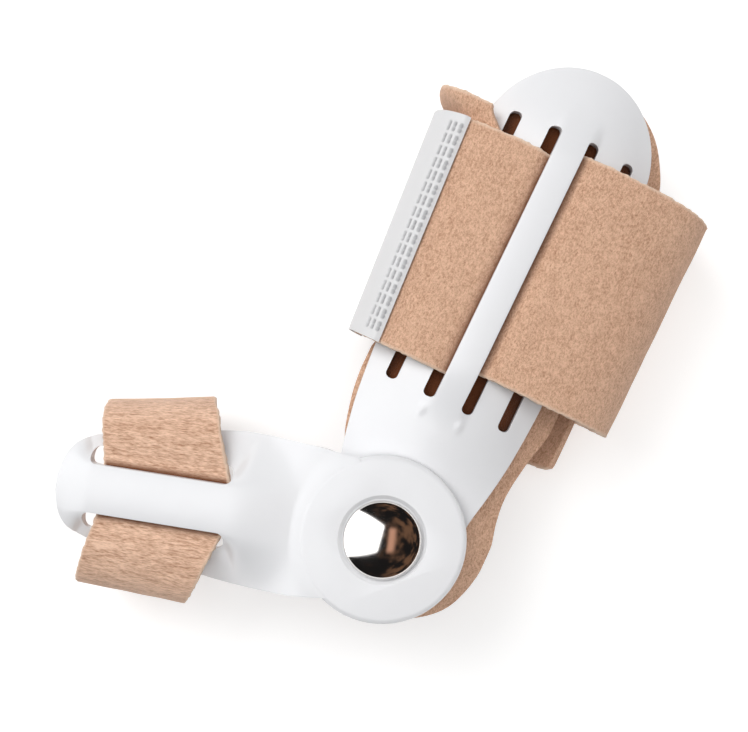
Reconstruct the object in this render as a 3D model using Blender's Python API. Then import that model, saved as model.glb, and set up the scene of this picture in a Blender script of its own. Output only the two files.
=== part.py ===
"""Bunion corrector: two hinged splint arms, each held on by a padded strap loop.

Metres, +Z up. The origin lies on the floor under the middle of the wide strap.
+Y runs along the foot arm from the hinge to its domed end, and +X to its right.
"""
import math

import bmesh
import bpy
from mathutils import Vector

# Clearances
GAP = 0.0003                      # between pieces that touch

# Levels above the floor
HINGE_PLATE_TOP = 0.0330          # top of the foot arm's plate under the hinge
FOOT_CROWN_RISE = 0.0010          # the foot arm's crown above that plate
SHELL_WALL = 0.0024               # moulded wall of both arms

# Foot arm, measured from the hinge
STRAP_FROM_HINGE = 0.0653         # hinge axis to the middle of the wide strap
FOOT_BODY = 0.0893                # hinge axis to the centre of the domed end
FOOT_HALF_WIDTH = 0.0191
FOOT_ARCH_DROP = 0.0085           # crown down to the side edges
FOOT_DOME_FALL = 0.0040           # crown down to the domed tip
FOOT_PLATE_RADIUS = 0.0153
SLOT_START = 0.0310
SLOT_END = 0.0936
SLOT_WIDTH = 0.0026
OUTER_SLOT_ACROSS = 0.0131        # centre line to the middle of an outer slot
RIB_HALF_WIDTH = 0.0031
RIB_THICKNESS = 0.0020
RIB_LIFT = 0.0008                 # crown up to the underside of the rib
RIB_RAMP = 0.0045                 # length over which the rib runs down into the crown

# Toe arm, measured from the hinge
TOE_ANGLE = math.radians(107.0)   # between the two arms
TOE_OFFSET = 0.0013               # the toe arm's centre line beside the hinge axis
TOE_REACH = 0.0694
TOE_HALF_WIDTH = 0.0163
TOE_ARCH_DROP = 0.0072
TOE_FALL = 0.0046                 # the toe arm's crown from the hinge to the tip
TOE_DISC_RADIUS = 0.0176
TOE_DISC_THICKNESS = 0.0032
TOE_DISC_STEP = 0.0009            # the disc's top above the arm's crown beside it
TOE_BAR_HALF_WIDTH = 0.0051
TOE_BAR_LIFT = 0.0007
TOE_SLOT_WIDTH = 0.0036
TOE_SLOT_START = 0.0328
TOE_TIP_WALL = 0.0052             # solid end between the slots and the tip
TOE_SLOT_END = TOE_REACH - TOE_TIP_WALL
TOE_TIP_RAMP = 0.0020             # length over which the bar runs down at the tip

# Hinge rivet
CAP_RADIUS = 0.0082
CAP_HEIGHT = 0.0027
CAP_RECESS = 0.0008
CAP_RECESS_BEVEL = 0.0008
SHANK_RADIUS = 0.0022
RIVET_FOOT_RADIUS = 0.0045
RIVET_FOOT_THICKNESS = 0.0009

# Straps, pad and tab
STRAP_THICKNESS = 0.0022
STRAP_PINCHED = 0.0018            # where a strap passes a slot or lies under the tab
FOOT_STRAP_WIDTH = 0.0508
TOE_STRAP_WIDTH = 0.0250
FOOT_STRAP_RIGHT = 0.0354         # outermost point of the wide loop on the right
FOOT_STRAP_LEFT = 0.0262          # the same on the left, under the tab
FOOT_STRAP_SKEW = 0.0018          # how much the left side leans over half the strap's width
FOOT_LOOP_MIDDLE = 0.0180         # height of the loop's widest point
LOOP_FULLNESS = 2.4              # 2 is an ellipse, more is squarer
STRAP_SHOULDER = 0.0082           # where the wide strap's run over the arch ends
STRAP_CREST = 0.0010              # strap's middle above the crown at that shoulder
UNDER_LAYER_SLIDE = 0.0040        # the strap's under layer lies this far towards the dome
TOE_STRAP_FROM_HINGE = 0.0500
TOE_STRAP_NEAR = 0.0202           # outermost point on the side of the foot arm
TOE_STRAP_FAR = 0.0226
TOE_STRAP_TAPER = 0.0020          # near side narrows by this towards the tip
TOE_LOOP_MIDDLE = 0.0185
TOE_STRAP_SHOULDER = 0.0098
PAD_THICKNESS = 0.0040
PAD_LEFT = 0.0204
PAD_RIGHT = 0.0242
PAD_REACH = 0.1072
PAD_FLARE = math.tan(math.radians(30.0))
TAB_THICKNESS = 0.0011
TAB_START = 0.0204                # the tab's inner edge from the centre line
TAIL_THICKNESS = 0.0020
TAIL_LENGTH = 0.0400
TAIL_RIGHT = 0.0288               # the tail's cut end
TAIL_CORNER = 0.0020
TAIL_CENTRE_Y = -0.0110
TAIL_SLOPE = math.tan(math.radians(8.5))

# Foot arm sections: place, half width and arch as shares of the foot arm's sizes
FOOT_SECTIONS = (
    # along, half_width, arch, rise
    (0.000, 0.800, 0.00, 0.00),
    (0.060, 0.785, 0.03, 0.00),
    (0.112, 0.790, 0.12, 0.00),
    (0.190, 0.868, 0.33, 0.00),
    (0.270, 0.935, 0.60, 0.55),
    (0.350, 0.975, 0.83, 0.90),
    (0.430, 1.000, 1.00, 1.00),
    (0.700, 1.000, 1.00, 1.00),
    (1.000, 0.995, 1.00, 1.00),
)

# Toe arm sections: place as a share of its reach, half width, arch and fall as shares of its sizes
TOE_SECTIONS = (
    # along, half_width, arch, fall
    (0.100, 0.900, 0.00, 0.00),
    (0.190, 0.950, 0.00, 0.00),
    (0.250, 0.975, 0.06, 0.02),
    (0.320, 0.990, 0.34, 0.12),
    (0.400, 1.000, 0.72, 0.26),
    (0.480, 0.990, 1.00, 0.36),
    (0.620, 0.900, 0.88, 0.48),
    (0.780, 0.785, 0.68, 0.62),
    (0.900, 0.680, 0.50, 0.74),
    (0.945, 0.590, 0.38, 0.82),
    (0.972, 0.480, 0.26, 0.89),
    (0.990, 0.310, 0.12, 0.95),
    (1.000, 0.100, 0.02, 1.00),
)

# Pad outline: place as a share of its reach, each side as a share of its own size
PAD_SECTIONS = (
    # along, left, right
    (-0.138, 0.00, 0.42),
    (-0.120, -0.25, 0.60),
    (-0.080, -0.47, 0.79),
    (-0.030, -0.61, 0.89),
    (0.020, -0.68, 0.93),
    (0.070, -0.71, 0.93),
    (0.120, -0.76, 0.88),
    (0.170, -0.82, 0.86),
    (0.250, -0.93, 0.91),
    (0.330, -1.00, 1.00),
    (0.390, -0.87, 1.00),
    (0.600, -0.87, 1.00),
    (0.800, -0.87, 0.97),
    (0.870, -0.82, 0.94),
    (0.920, -0.66, 0.82),
    (0.955, -0.46, 0.69),
    (0.980, -0.26, 0.53),
    (1.000, 0.05, 0.33),
)

HINGE = Vector((0.0, -STRAP_FROM_HINGE, 0.0))
TOE_DISC_BOTTOM = HINGE_PLATE_TOP + GAP
TOE_DISC_TOP = TOE_DISC_BOTTOM + TOE_DISC_THICKNESS
FOOT_CROWN = HINGE_PLATE_TOP + FOOT_CROWN_RISE
TOE_CROWN = TOE_DISC_TOP - TOE_DISC_STEP


def clear_scene():
    """Removes the objects, meshes and materials that an open scene starts with."""
    for obj in list(bpy.data.objects):
        bpy.data.objects.remove(obj, do_unlink=True)
    for mesh in list(bpy.data.meshes):
        bpy.data.meshes.remove(mesh)
    for material in list(bpy.data.materials):
        bpy.data.materials.remove(material)


def material(name, color, roughness, metallic=0.0):
    """One Principled material."""
    made = bpy.data.materials.new(name)
    made.use_nodes = True
    shader = made.node_tree.nodes["Principled BSDF"]
    shader.inputs["Base Color"].default_value = (*color, 1.0)
    shader.inputs["Roughness"].default_value = roughness
    shader.inputs["Metallic"].default_value = metallic
    made.diffuse_color = (*color, 1.0)
    return made


def spread(low, high, count):
    """count values from low to high."""
    return [low + (high - low) * i / (count - 1) for i in range(count)]


def read_table(table, column, place):
    """One column of a section table at a place between its rows, smoothly."""
    places = [row[0] for row in table]
    values = [row[column] for row in table]
    if place <= places[0]:
        return values[0]
    if place >= places[-1]:
        return values[-1]
    i = max(k for k in range(len(places) - 1) if places[k] <= place)
    slopes = []
    for k in (i, i + 1):
        before = max(k - 1, 0)
        after = min(k + 1, len(places) - 1)
        slopes.append((values[after] - values[before]) / (places[after] - places[before]))
    span = places[i + 1] - places[i]
    t = (place - places[i]) / span
    blend_in = t * t * (3 - 2 * t)
    start_pull = t * (1 - t) ** 2 * span
    end_pull = t * t * (1 - t) * span
    between = values[i] * (1 - blend_in) + values[i + 1] * blend_in
    cubic = between + slopes[0] * start_pull - slopes[1] * end_pull
    low = min(values[i], values[i + 1])
    high = max(values[i], values[i + 1])
    return min(max(cubic, low), high)


def mesh_object(name, bm, look, smooth_angle=40.0):
    """An object from a bmesh, in flat triangles that face out, with smooth shading."""
    bmesh.ops.recalc_face_normals(bm, faces=bm.faces)
    bmesh.ops.triangulate(bm, faces=bm.faces)
    mesh = bpy.data.meshes.new(name)
    bm.to_mesh(mesh)
    bm.free()
    mesh.shade_smooth()
    mesh.set_sharp_from_angle(angle=math.radians(smooth_angle))
    obj = bpy.data.objects.new(name, mesh)
    if look:
        mesh.materials.append(look)
    bpy.context.scene.collection.objects.link(obj)
    return obj


def sheet(rows, closed=False):
    """A closed body from rows of (face point, back point) pairs, joined round where closed."""
    bm = bmesh.new()
    face = [[bm.verts.new(pair[0]) for pair in row] for row in rows]
    back = [[bm.verts.new(pair[1]) for pair in row] for row in rows]
    last_row = len(rows) - 1
    count = len(rows[0])
    steps = count if closed else count - 1
    for i in range(last_row):
        for j in range(steps):
            k = (j + 1) % count
            bm.faces.new((face[i][j], face[i][k], face[i + 1][k], face[i + 1][j]))
            bm.faces.new((back[i][j], back[i + 1][j], back[i + 1][k], back[i][k]))
    for j in range(steps):
        k = (j + 1) % count
        bm.faces.new((face[0][k], face[0][j], back[0][j], back[0][k]))
        bm.faces.new((face[last_row][j], face[last_row][k], back[last_row][k], back[last_row][j]))
    if not closed:
        end = count - 1
        for i in range(last_row):
            bm.faces.new((face[i][0], face[i + 1][0], back[i + 1][0], back[i][0]))
            bm.faces.new((face[i + 1][end], face[i][end], back[i][end], back[i + 1][end]))
    return bm


def turned(profile, sides):
    """A closed round body from (radius, height) points that start and end on the axis."""
    bm = bmesh.new()
    rings = []
    for radius, height in profile:
        if radius == 0.0:
            rings.append([bm.verts.new((0.0, 0.0, height))])
        else:
            turns = [2 * math.pi * k / sides for k in range(sides)]
            ring = [bm.verts.new((radius * math.cos(a), radius * math.sin(a), height)) for a in turns]
            rings.append(ring)
    for lower, upper in zip(rings, rings[1:]):
        for k in range(sides):
            m = (k + 1) % sides
            corners = [lower[k % len(lower)], lower[m % len(lower)], upper[m % len(upper)], upper[k % len(upper)]]
            bm.faces.new(list(dict.fromkeys(corners)))
    return bm


def slot_prism(width, start, end, across, bottom, top, corner):
    """An upright prism with rounded ends, a cutter for a slot that runs along Y."""
    bm = bmesh.new()
    half = width / 2
    outline = []
    centres = (
        (across + half - corner, end - corner, 0.0),
        (across - half + corner, end - corner, 0.5),
        (across - half + corner, start + corner, 1.0),
        (across + half - corner, start + corner, 1.5),
    )
    for x, y, turn in centres:
        for step in spread(0.0, 0.5, 5):
            angle = math.pi * (turn + step)
            outline.append((x + corner * math.cos(angle), y + corner * math.sin(angle)))
    lower = [bm.verts.new((x, y, bottom)) for x, y in outline]
    upper = [bm.verts.new((x, y, top)) for x, y in outline]
    bm.faces.new(lower)
    bm.faces.new(upper)
    for i in range(len(outline)):
        j = (i + 1) % len(outline)
        bm.faces.new((lower[i], lower[j], upper[j], upper[i]))
    bmesh.ops.remove_doubles(bm, verts=bm.verts, dist=1e-6)
    return bm


def boolean(target, tool, operation):
    """Adds or cuts a hidden tool object with a live Boolean modifier."""
    tool.hide_render = True
    tool.display_type = 'WIRE'
    tool.parent = target
    modifier = target.modifiers.new(tool.name, 'BOOLEAN')
    modifier.operation = operation
    modifier.solver = 'EXACT'
    modifier.object = tool


def arch_pair(across_share, half_width, drop, crown):
    """Top and bottom point (x, z) of an arched wall, at a share of its half width."""
    if drop < 1e-5:
        x = across_share * half_width
        return (x, crown), (x, crown - SHELL_WALL)
    radius = (half_width ** 2 + drop ** 2) / (2 * drop)
    angle = math.asin(min(half_width / radius, 1.0)) * across_share
    inner = radius - SHELL_WALL
    top = (radius * math.sin(angle), crown - radius * (1 - math.cos(angle)))
    bottom = (inner * math.sin(angle), crown - radius + inner * math.cos(angle))
    return top, bottom


def foot_section(along):
    """Half width, arch drop and crown height of the foot arm at a distance from the hinge."""
    if along < 0:
        half_width = math.sqrt(max(FOOT_PLATE_RADIUS ** 2 - along ** 2, 1e-8))
        return half_width, 0.0, HINGE_PLATE_TOP
    share = along / FOOT_BODY
    half_width = FOOT_HALF_WIDTH * read_table(FOOT_SECTIONS, 1, share)
    drop = FOOT_ARCH_DROP * read_table(FOOT_SECTIONS, 2, share)
    crown = HINGE_PLATE_TOP + FOOT_CROWN_RISE * read_table(FOOT_SECTIONS, 3, share)
    past = max(along - FOOT_BODY, 0.0) / FOOT_HALF_WIDTH
    if past > 0:
        narrow = math.sqrt(max(1 - past ** 2, 1e-4))
        half_width = half_width * narrow
        drop = drop * narrow ** 2
        crown = crown - FOOT_DOME_FALL * past ** 2
    return half_width, drop, crown


def toe_section(along):
    """Half width, arch drop and crown height of the toe arm at a distance from the hinge."""
    share = along / TOE_REACH
    half_width = TOE_HALF_WIDTH * read_table(TOE_SECTIONS, 1, share)
    drop = TOE_ARCH_DROP * read_table(TOE_SECTIONS, 2, share)
    crown = TOE_CROWN - TOE_FALL * read_table(TOE_SECTIONS, 3, share)
    return half_width, drop, crown


def arm_rows(stations, section, offset):
    """Rows of top and bottom points of an arched arm, one row for each distance."""
    rows = []
    for along in stations:
        half_width, drop, crown = section(along)
        row = []
        for share in spread(-1.0, 1.0, 19):
            top, bottom = arch_pair(share, half_width, drop, crown)
            row.append(((top[0] + offset, along, top[1]), (bottom[0] + offset, along, bottom[1])))
        rows.append(row)
    return rows


def bridge_rows(start, end, ramps, half_width, lift, thickness, section, offset):
    """Rows of a bar that rises out of an arm's crown, spans its slots and runs down again."""
    sunk = 0.00015
    up, down = ramps
    stations = [start - up, start - 0.5 * up, start, start + 0.5 * up]
    stations += spread(start + up, end - down, 6)
    stations += [end - 0.5 * down, end, end + 0.5 * down, end + down]
    full = lift + thickness
    rises = {0: -sunk, 1: 0.22 * full, 2: 0.62 * full, 3: 0.90 * full}
    rows = []
    count = len(stations)
    for i, along in enumerate(stations):
        rise = rises.get(min(i, count - 1 - i), full)
        crown = section(along)[2]
        row = []
        for share, edge in ((-1.0, 0.45), (-0.82, 0.08), (0.0, 0.0), (0.82, 0.08), (1.0, 0.45)):
            x = offset + share * half_width
            top = crown + rise - edge * 0.001
            row.append(((x, along, top), (x, along, crown + rise - thickness)))
        rows.append(row)
    return rows


def make_foot_shell(plastic):
    """The foot arm: hinge plate, arched body with four slots, raised rib and domed end."""
    plate = [-FOOT_PLATE_RADIUS * math.cos(math.radians(a)) for a in (4, 20, 36, 52, 68, 82)]
    body = spread(0.0, FOOT_BODY, 22)
    dome = [FOOT_BODY + FOOT_HALF_WIDTH * math.sin(math.radians(a)) for a in (12, 24, 36, 48, 59, 69, 78, 85)]
    shell = mesh_object("foot_shell", sheet(arm_rows(plate + body + dome, foot_section, 0.0)), plastic)
    shell.location = HINGE
    low = FOOT_CROWN - FOOT_ARCH_DROP - SHELL_WALL
    high = FOOT_CROWN + RIB_THICKNESS
    window = 2 * (RIB_HALF_WIDTH + SLOT_WIDTH)
    cutters = (
        ("rib_window", window, 0.0),
        ("outer_slot_right", SLOT_WIDTH, OUTER_SLOT_ACROSS),
        ("outer_slot_left", SLOT_WIDTH, -OUTER_SLOT_ACROSS),
    )
    for name, width, across in cutters:
        prism = slot_prism(width, SLOT_START, SLOT_END, across, low, high, SLOT_WIDTH * 0.45)
        boolean(shell, mesh_object(name, prism, None), 'DIFFERENCE')
    ramps = (RIB_RAMP, RIB_RAMP)
    rib = bridge_rows(SLOT_START, SLOT_END, ramps, RIB_HALF_WIDTH, RIB_LIFT, RIB_THICKNESS, foot_section, 0.0)
    boolean(shell, mesh_object("rib", sheet(rib), None), 'UNION')
    rivet_well = (
        (0.0, HINGE_PLATE_TOP - 2 * SHELL_WALL),
        (RIVET_FOOT_RADIUS + GAP, HINGE_PLATE_TOP - 2 * SHELL_WALL),
        (RIVET_FOOT_RADIUS + GAP, HINGE_PLATE_TOP - SHELL_WALL + RIVET_FOOT_THICKNESS + GAP),
        (SHANK_RADIUS + GAP, HINGE_PLATE_TOP - SHELL_WALL + RIVET_FOOT_THICKNESS + GAP),
        (SHANK_RADIUS + GAP, HINGE_PLATE_TOP + SHELL_WALL),
        (0.0, HINGE_PLATE_TOP + SHELL_WALL),
    )
    boolean(shell, mesh_object("foot_rivet_well", turned(rivet_well, 32), None), 'DIFFERENCE')
    return shell


def make_toe_shell(plastic):
    """The toe arm: hinge disc with a recess for the cap, arched body, two slots and a raised bar."""
    shares = [row[0] for row in TOE_SECTIONS]
    stations = [TOE_REACH * share for share in shares[:6]]
    stations += spread(TOE_REACH * shares[5], TOE_REACH * shares[8], 9)[1:]
    stations += [TOE_REACH * share for share in shares[9:]]
    shell = mesh_object("toe_shell", sheet(arm_rows(stations, toe_section, TOE_OFFSET)), plastic)
    edge = 0.0010
    rim = [(TOE_DISC_RADIUS - edge + edge * math.cos(a), TOE_DISC_TOP - edge + edge * math.sin(a))
           for a in spread(0.0, math.pi / 2, 5)]
    disc = [(0.0, TOE_DISC_BOTTOM), (TOE_DISC_RADIUS, TOE_DISC_BOTTOM)] + rim + [(0.0, TOE_DISC_TOP)]
    boolean(shell, mesh_object("hinge_disc", turned(disc, 72), None), 'UNION')
    outer = TOE_BAR_HALF_WIDTH + TOE_SLOT_WIDTH
    low = TOE_CROWN - TOE_FALL - TOE_ARCH_DROP - SHELL_WALL
    high = TOE_DISC_TOP + RIB_THICKNESS
    window = slot_prism(2 * outer, TOE_SLOT_START, TOE_SLOT_END, TOE_OFFSET, low, high, TOE_SLOT_WIDTH * 0.45)
    boolean(shell, mesh_object("bar_window", window, None), 'DIFFERENCE')
    strap_end = TOE_STRAP_FROM_HINGE + TOE_STRAP_WIDTH / 2
    bar_end = strap_end + GAP + TOE_TIP_RAMP
    ramps = (RIB_RAMP, TOE_TIP_RAMP)
    bar = bridge_rows(TOE_SLOT_START, bar_end, ramps, TOE_BAR_HALF_WIDTH, TOE_BAR_LIFT, RIB_THICKNESS,
                      toe_section, TOE_OFFSET)
    boolean(shell, mesh_object("toe_bar", sheet(bar), None), 'UNION')
    seat = TOE_DISC_TOP - CAP_RECESS
    clear_top = TOE_DISC_TOP + CAP_HEIGHT
    mouth = CAP_RADIUS + GAP + CAP_RECESS_BEVEL
    recess = (
        (0.0, TOE_DISC_BOTTOM - SHELL_WALL),
        (SHANK_RADIUS + GAP, TOE_DISC_BOTTOM - SHELL_WALL),
        (SHANK_RADIUS + GAP, seat),
        (CAP_RADIUS + GAP, seat),
        (mouth, TOE_DISC_TOP),
        (mouth, clear_top),
        (0.0, clear_top),
    )
    boolean(shell, mesh_object("cap_recess", turned(recess, 72), None), 'DIFFERENCE')
    return shell


def make_rivet(chrome):
    """The hinge rivet: a domed cap above the disc, its shank, and a flat foot under the plate."""
    seat = TOE_DISC_TOP - CAP_RECESS + GAP
    foot_bottom = HINGE_PLATE_TOP - SHELL_WALL
    foot_top = foot_bottom + RIVET_FOOT_THICKNESS
    rim = 0.0004
    profile = [(0.0, foot_bottom), (RIVET_FOOT_RADIUS, foot_bottom), (RIVET_FOOT_RADIUS, foot_top)]
    profile += [(SHANK_RADIUS, foot_top), (SHANK_RADIUS, seat), (CAP_RADIUS, seat)]
    for angle in spread(0.0, math.pi / 2, 10)[:-1]:
        profile.append((CAP_RADIUS * math.cos(angle), seat + rim + (CAP_HEIGHT - rim) * math.sin(angle)))
    profile.append((0.0, seat + CAP_HEIGHT))
    rivet = mesh_object("hinge_rivet", turned(profile, 64), chrome)
    rivet.location = HINGE
    return rivet


def loop_arc(centre, reach, height, start, end, count):
    """Points (x, z) on a full elliptical arc. Angles in degrees, 0 towards +X and 90 up."""
    power = 2 / LOOP_FULLNESS
    points = []
    for degrees in spread(start, end, count):
        angle = math.radians(degrees)
        c = math.cos(angle)
        s = math.sin(angle)
        x = centre[0] + math.copysign(reach * abs(c) ** power, c)
        z = centre[1] + math.copysign(height * abs(s) ** power, s)
        points.append((x, z))
    return points


def slot_dive(side):
    """The wide strap from its shoulder down through a slot to the middle under the rib."""
    low = FOOT_CROWN + RIB_LIFT - 0.0008 - STRAP_PINCHED / 2
    slot_out = RIB_HALF_WIDTH + SLOT_WIDTH
    crest = FOOT_CROWN + STRAP_CREST
    edge_drop = slot_out ** 2 / (FOOT_HALF_WIDTH ** 2 / FOOT_ARCH_DROP + FOOT_ARCH_DROP)
    over_edge = FOOT_CROWN - edge_drop + GAP + 1.2 * STRAP_PINCHED / 2
    points = (
        (slot_out + 0.35 * (STRAP_SHOULDER - slot_out), 0.35 * crest + 0.65 * (over_edge + 0.0002)),
        (slot_out - 0.0002, over_edge + 0.00005),
        (RIB_HALF_WIDTH + 0.45 * SLOT_WIDTH, 0.5 * (low + over_edge) - 0.0001),
        (RIB_HALF_WIDTH + 0.02 * SLOT_WIDTH, low + 0.0002),
        (0.55 * RIB_HALF_WIDTH, low),
    )
    return [(side * x, z, STRAP_PINCHED, 0.0) for x, z in points]


def foot_strap_line(lean):
    """Middle line of the wide strap at one place across its width: x, z, thickness, slide along Y."""
    t = STRAP_THICKNESS
    pressed = STRAP_PINCHED
    crest = FOOT_CROWN + STRAP_CREST
    layer = pressed + GAP
    top = crest - FOOT_LOOP_MIDDLE
    bottom = FOOT_LOOP_MIDDLE - t / 2
    left_reach = FOOT_STRAP_LEFT + FOOT_STRAP_SKEW * lean - pressed / 2 - STRAP_SHOULDER
    right_reach = FOOT_STRAP_RIGHT - t / 2 - STRAP_SHOULDER
    left = (-STRAP_SHOULDER, FOOT_LOOP_MIDDLE)
    right = (STRAP_SHOULDER, FOOT_LOOP_MIDDLE)
    slide = UNDER_LAYER_SLIDE
    line = [(x, z, pressed, 0.0) for x, z in loop_arc(left, left_reach, top, 184, 90, 11)]
    line += slot_dive(-1)
    line += [(0.0, line[-1][1], STRAP_PINCHED, 0.0)]
    line += slot_dive(1)[::-1]
    line += [(x, z, t, 0.0) for x, z in loop_arc(right, right_reach, top, 90, 0, 12)]
    line += [(x, z, t, 0.0) for x, z in loop_arc(right, right_reach, bottom, 0, -90, 12)[1:]]
    for share in spread(0.0, 1.0, 6)[1:]:
        x = STRAP_SHOULDER * (1 - 2 * share)
        line.append((x, t / 2, t, 0.5 * slide * share))
    rising = loop_arc(left, left_reach - layer, bottom, -90, -180, 10)[1:]
    line += [(x, z, pressed, slide * (0.5 + 0.5 * k / len(rising))) for k, (x, z) in enumerate(rising)]
    under = loop_arc(left, left_reach - layer, top - layer, 180, 108, 9)[1:]
    line += [(x, z, pressed, slide * (1 - 0.5 * k / len(under))) for k, (x, z) in enumerate(under)]
    return line


def strap_rows(lines, places):
    """Rows of outer and inner points round a strap whose middle line changes across its width."""
    rows = []
    for line, place in zip(lines, places):
        row = []
        last = len(line) - 1
        for i, (x, z, thickness, slide) in enumerate(line):
            before = line[max(i - 1, 0)]
            after = line[min(i + 1, last)]
            direction = Vector((after[0] - before[0], after[1] - before[1])).normalized()
            out = Vector((-direction.y, direction.x)) * thickness / 2
            y = place + slide
            row.append(((x + out.x, y, z + out.y), (x - out.x, y, z - out.y)))
        rows.append(row)
    return rows


def make_foot_strap(fabric):
    """The wide strap: over the arch, under the rib, round the right, below and up the left."""
    shares = spread(-1.0, 1.0, 5)
    lines = [foot_strap_line(share) for share in shares]
    places = [share * FOOT_STRAP_WIDTH / 2 for share in shares]
    return mesh_object("foot_strap", sheet(strap_rows(lines, places)), fabric, 50.0)


def tab_line(lean):
    """Middle line of the hook tab, from its inner edge over the strap and down the left side."""
    pressed = STRAP_PINCHED
    step = pressed / 2 + GAP + TAB_THICKNESS / 2
    reach = FOOT_STRAP_LEFT + FOOT_STRAP_SKEW * lean - pressed / 2 - STRAP_SHOULDER
    top = FOOT_CROWN + STRAP_CREST - FOOT_LOOP_MIDDLE
    bottom = FOOT_LOOP_MIDDLE - STRAP_THICKNESS / 2 + pressed + GAP
    centre = (-STRAP_SHOULDER, FOOT_LOOP_MIDDLE)
    start = math.degrees(math.acos(min((TAB_START - STRAP_SHOULDER) / reach, 0.95) ** (LOOP_FULLNESS / 2)))
    line = [(x, z, TAB_THICKNESS, 0.0) for x, z in loop_arc(centre, reach + step, top + step, 180 - start, 180, 9)]
    lower = loop_arc(centre, reach + step, bottom + step, 180, 216, 7)[1:]
    line += [(x, z, TAB_THICKNESS, 0.0) for x, z in lower]
    return line


def make_hook_tab(plastic):
    """The white hook tab on the strap's left end."""
    shares = spread(-1.0, 1.0, 5)
    lines = [tab_line(share) for share in shares]
    places = [share * FOOT_STRAP_WIDTH / 2 for share in shares]
    return mesh_object("hook_tab", sheet(strap_rows(lines, places)), plastic, 50.0)


def toe_strap_line(lean, along):
    """Middle line of the narrow strap at one place across its width, closed round."""
    t = STRAP_THICKNESS
    taper = TOE_STRAP_TAPER * lean
    level = toe_section(along)[2] + TOE_BAR_LIFT - 0.0004 - STRAP_PINCHED / 2
    top = level - TOE_LOOP_MIDDLE
    bottom = TOE_LOOP_MIDDLE - t / 2
    near_reach = TOE_STRAP_NEAR - taper - t / 2 - TOE_STRAP_SHOULDER
    far_reach = TOE_STRAP_FAR - 0.3 * taper - t / 2 - TOE_STRAP_SHOULDER
    near = (TOE_OFFSET + TOE_STRAP_SHOULDER, TOE_LOOP_MIDDLE)
    far = (TOE_OFFSET - TOE_STRAP_SHOULDER, TOE_LOOP_MIDDLE)
    under = [TOE_OFFSET + TOE_STRAP_SHOULDER * share for share in (-0.78, -0.4, 0.0, 0.4, 0.78)]
    line = [(x, level, STRAP_PINCHED, 0.0) for x in under]
    line += [(x, z, t, 0.0) for x, z in loop_arc(near, near_reach, top, 90, 0, 9)]
    line += [(x, z, t, 0.0) for x, z in loop_arc(near, near_reach, bottom, 0, -90, 9)[1:]]
    line += [(TOE_OFFSET + TOE_STRAP_SHOULDER * share, t / 2, t, 0.0) for share in (0.5, 0.0, -0.5)]
    line += [(x, z, t, 0.0) for x, z in loop_arc(far, far_reach, bottom, -90, -180, 9)]
    line += [(x, z, t, 0.0) for x, z in loop_arc(far, far_reach, top, 180, 90, 9)[1:]]
    return line


def closed_strap_rows(lines, places):
    """As strap_rows, for a middle line that joins its own start."""
    rows = []
    for line, place in zip(lines, places):
        wrapped = [line[-1]] + line + [line[0]]
        rows.append(strap_rows([wrapped], [place])[0][1:-1])
    return rows


def make_toe_strap(fabric):
    """The narrow strap, a closed loop under the toe arm's bar and round the toe."""
    shares = spread(-1.0, 1.0, 5)
    places = [TOE_STRAP_FROM_HINGE + share * TOE_STRAP_WIDTH / 2 for share in shares]
    lines = [toe_strap_line(share, place) for share, place in zip(shares, places)]
    return mesh_object("toe_strap", sheet(closed_strap_rows(lines, places), True), fabric, 50.0)


def underside(x, along):
    """Height of the foot arm's underside at a place, running on with a flare past its edge."""
    half_width, drop, crown = foot_section(along)
    if drop < 1e-5:
        edge = half_width
        level = crown - SHELL_WALL
        if abs(x) <= edge:
            return level
        return level - PAD_FLARE * (abs(x) - edge)
    radius = (half_width ** 2 + drop ** 2) / (2 * drop)
    inner = radius - SHELL_WALL
    edge = inner * half_width / radius + 0.0008
    reach = min(abs(x), edge)
    level = crown - radius + math.sqrt(max(inner ** 2 - reach ** 2, 0.0))
    return level - PAD_FLARE * (abs(x) - reach)


def make_foot_pad(fabric):
    """The soft pad that lines the foot arm and shows past its edges."""
    rows = []
    shares = spread(PAD_SECTIONS[0][0], PAD_SECTIONS[7][0], 12)
    shares += [row[0] for row in PAD_SECTIONS[8:11]]
    shares += spread(PAD_SECTIONS[10][0], PAD_SECTIONS[12][0], 6)[1:]
    shares += spread(PAD_SECTIONS[12][0], PAD_SECTIONS[-1][0], 9)[1:]
    nudge = 0.0002
    for share in shares:
        along = share * PAD_REACH
        left = PAD_LEFT * read_table(PAD_SECTIONS, 1, share)
        right = PAD_RIGHT * read_table(PAD_SECTIONS, 2, share)
        row = []
        for x in spread(left, right, 19):
            height = underside(x, along)
            slope = (underside(x + nudge, along) - underside(x - nudge, along)) / (2 * nudge)
            across = Vector((1.0, slope)).normalized()
            down = Vector((across.y, -across.x))
            top = Vector((x, height)) + down * GAP
            bottom = top + down * PAD_THICKNESS
            row.append(((top.x, along, top.y), (bottom.x, along, bottom.y)))
        rows.append(row)
    pad = mesh_object("foot_pad", sheet(rows), fabric, 60.0)
    pad.location = HINGE
    return pad


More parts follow.
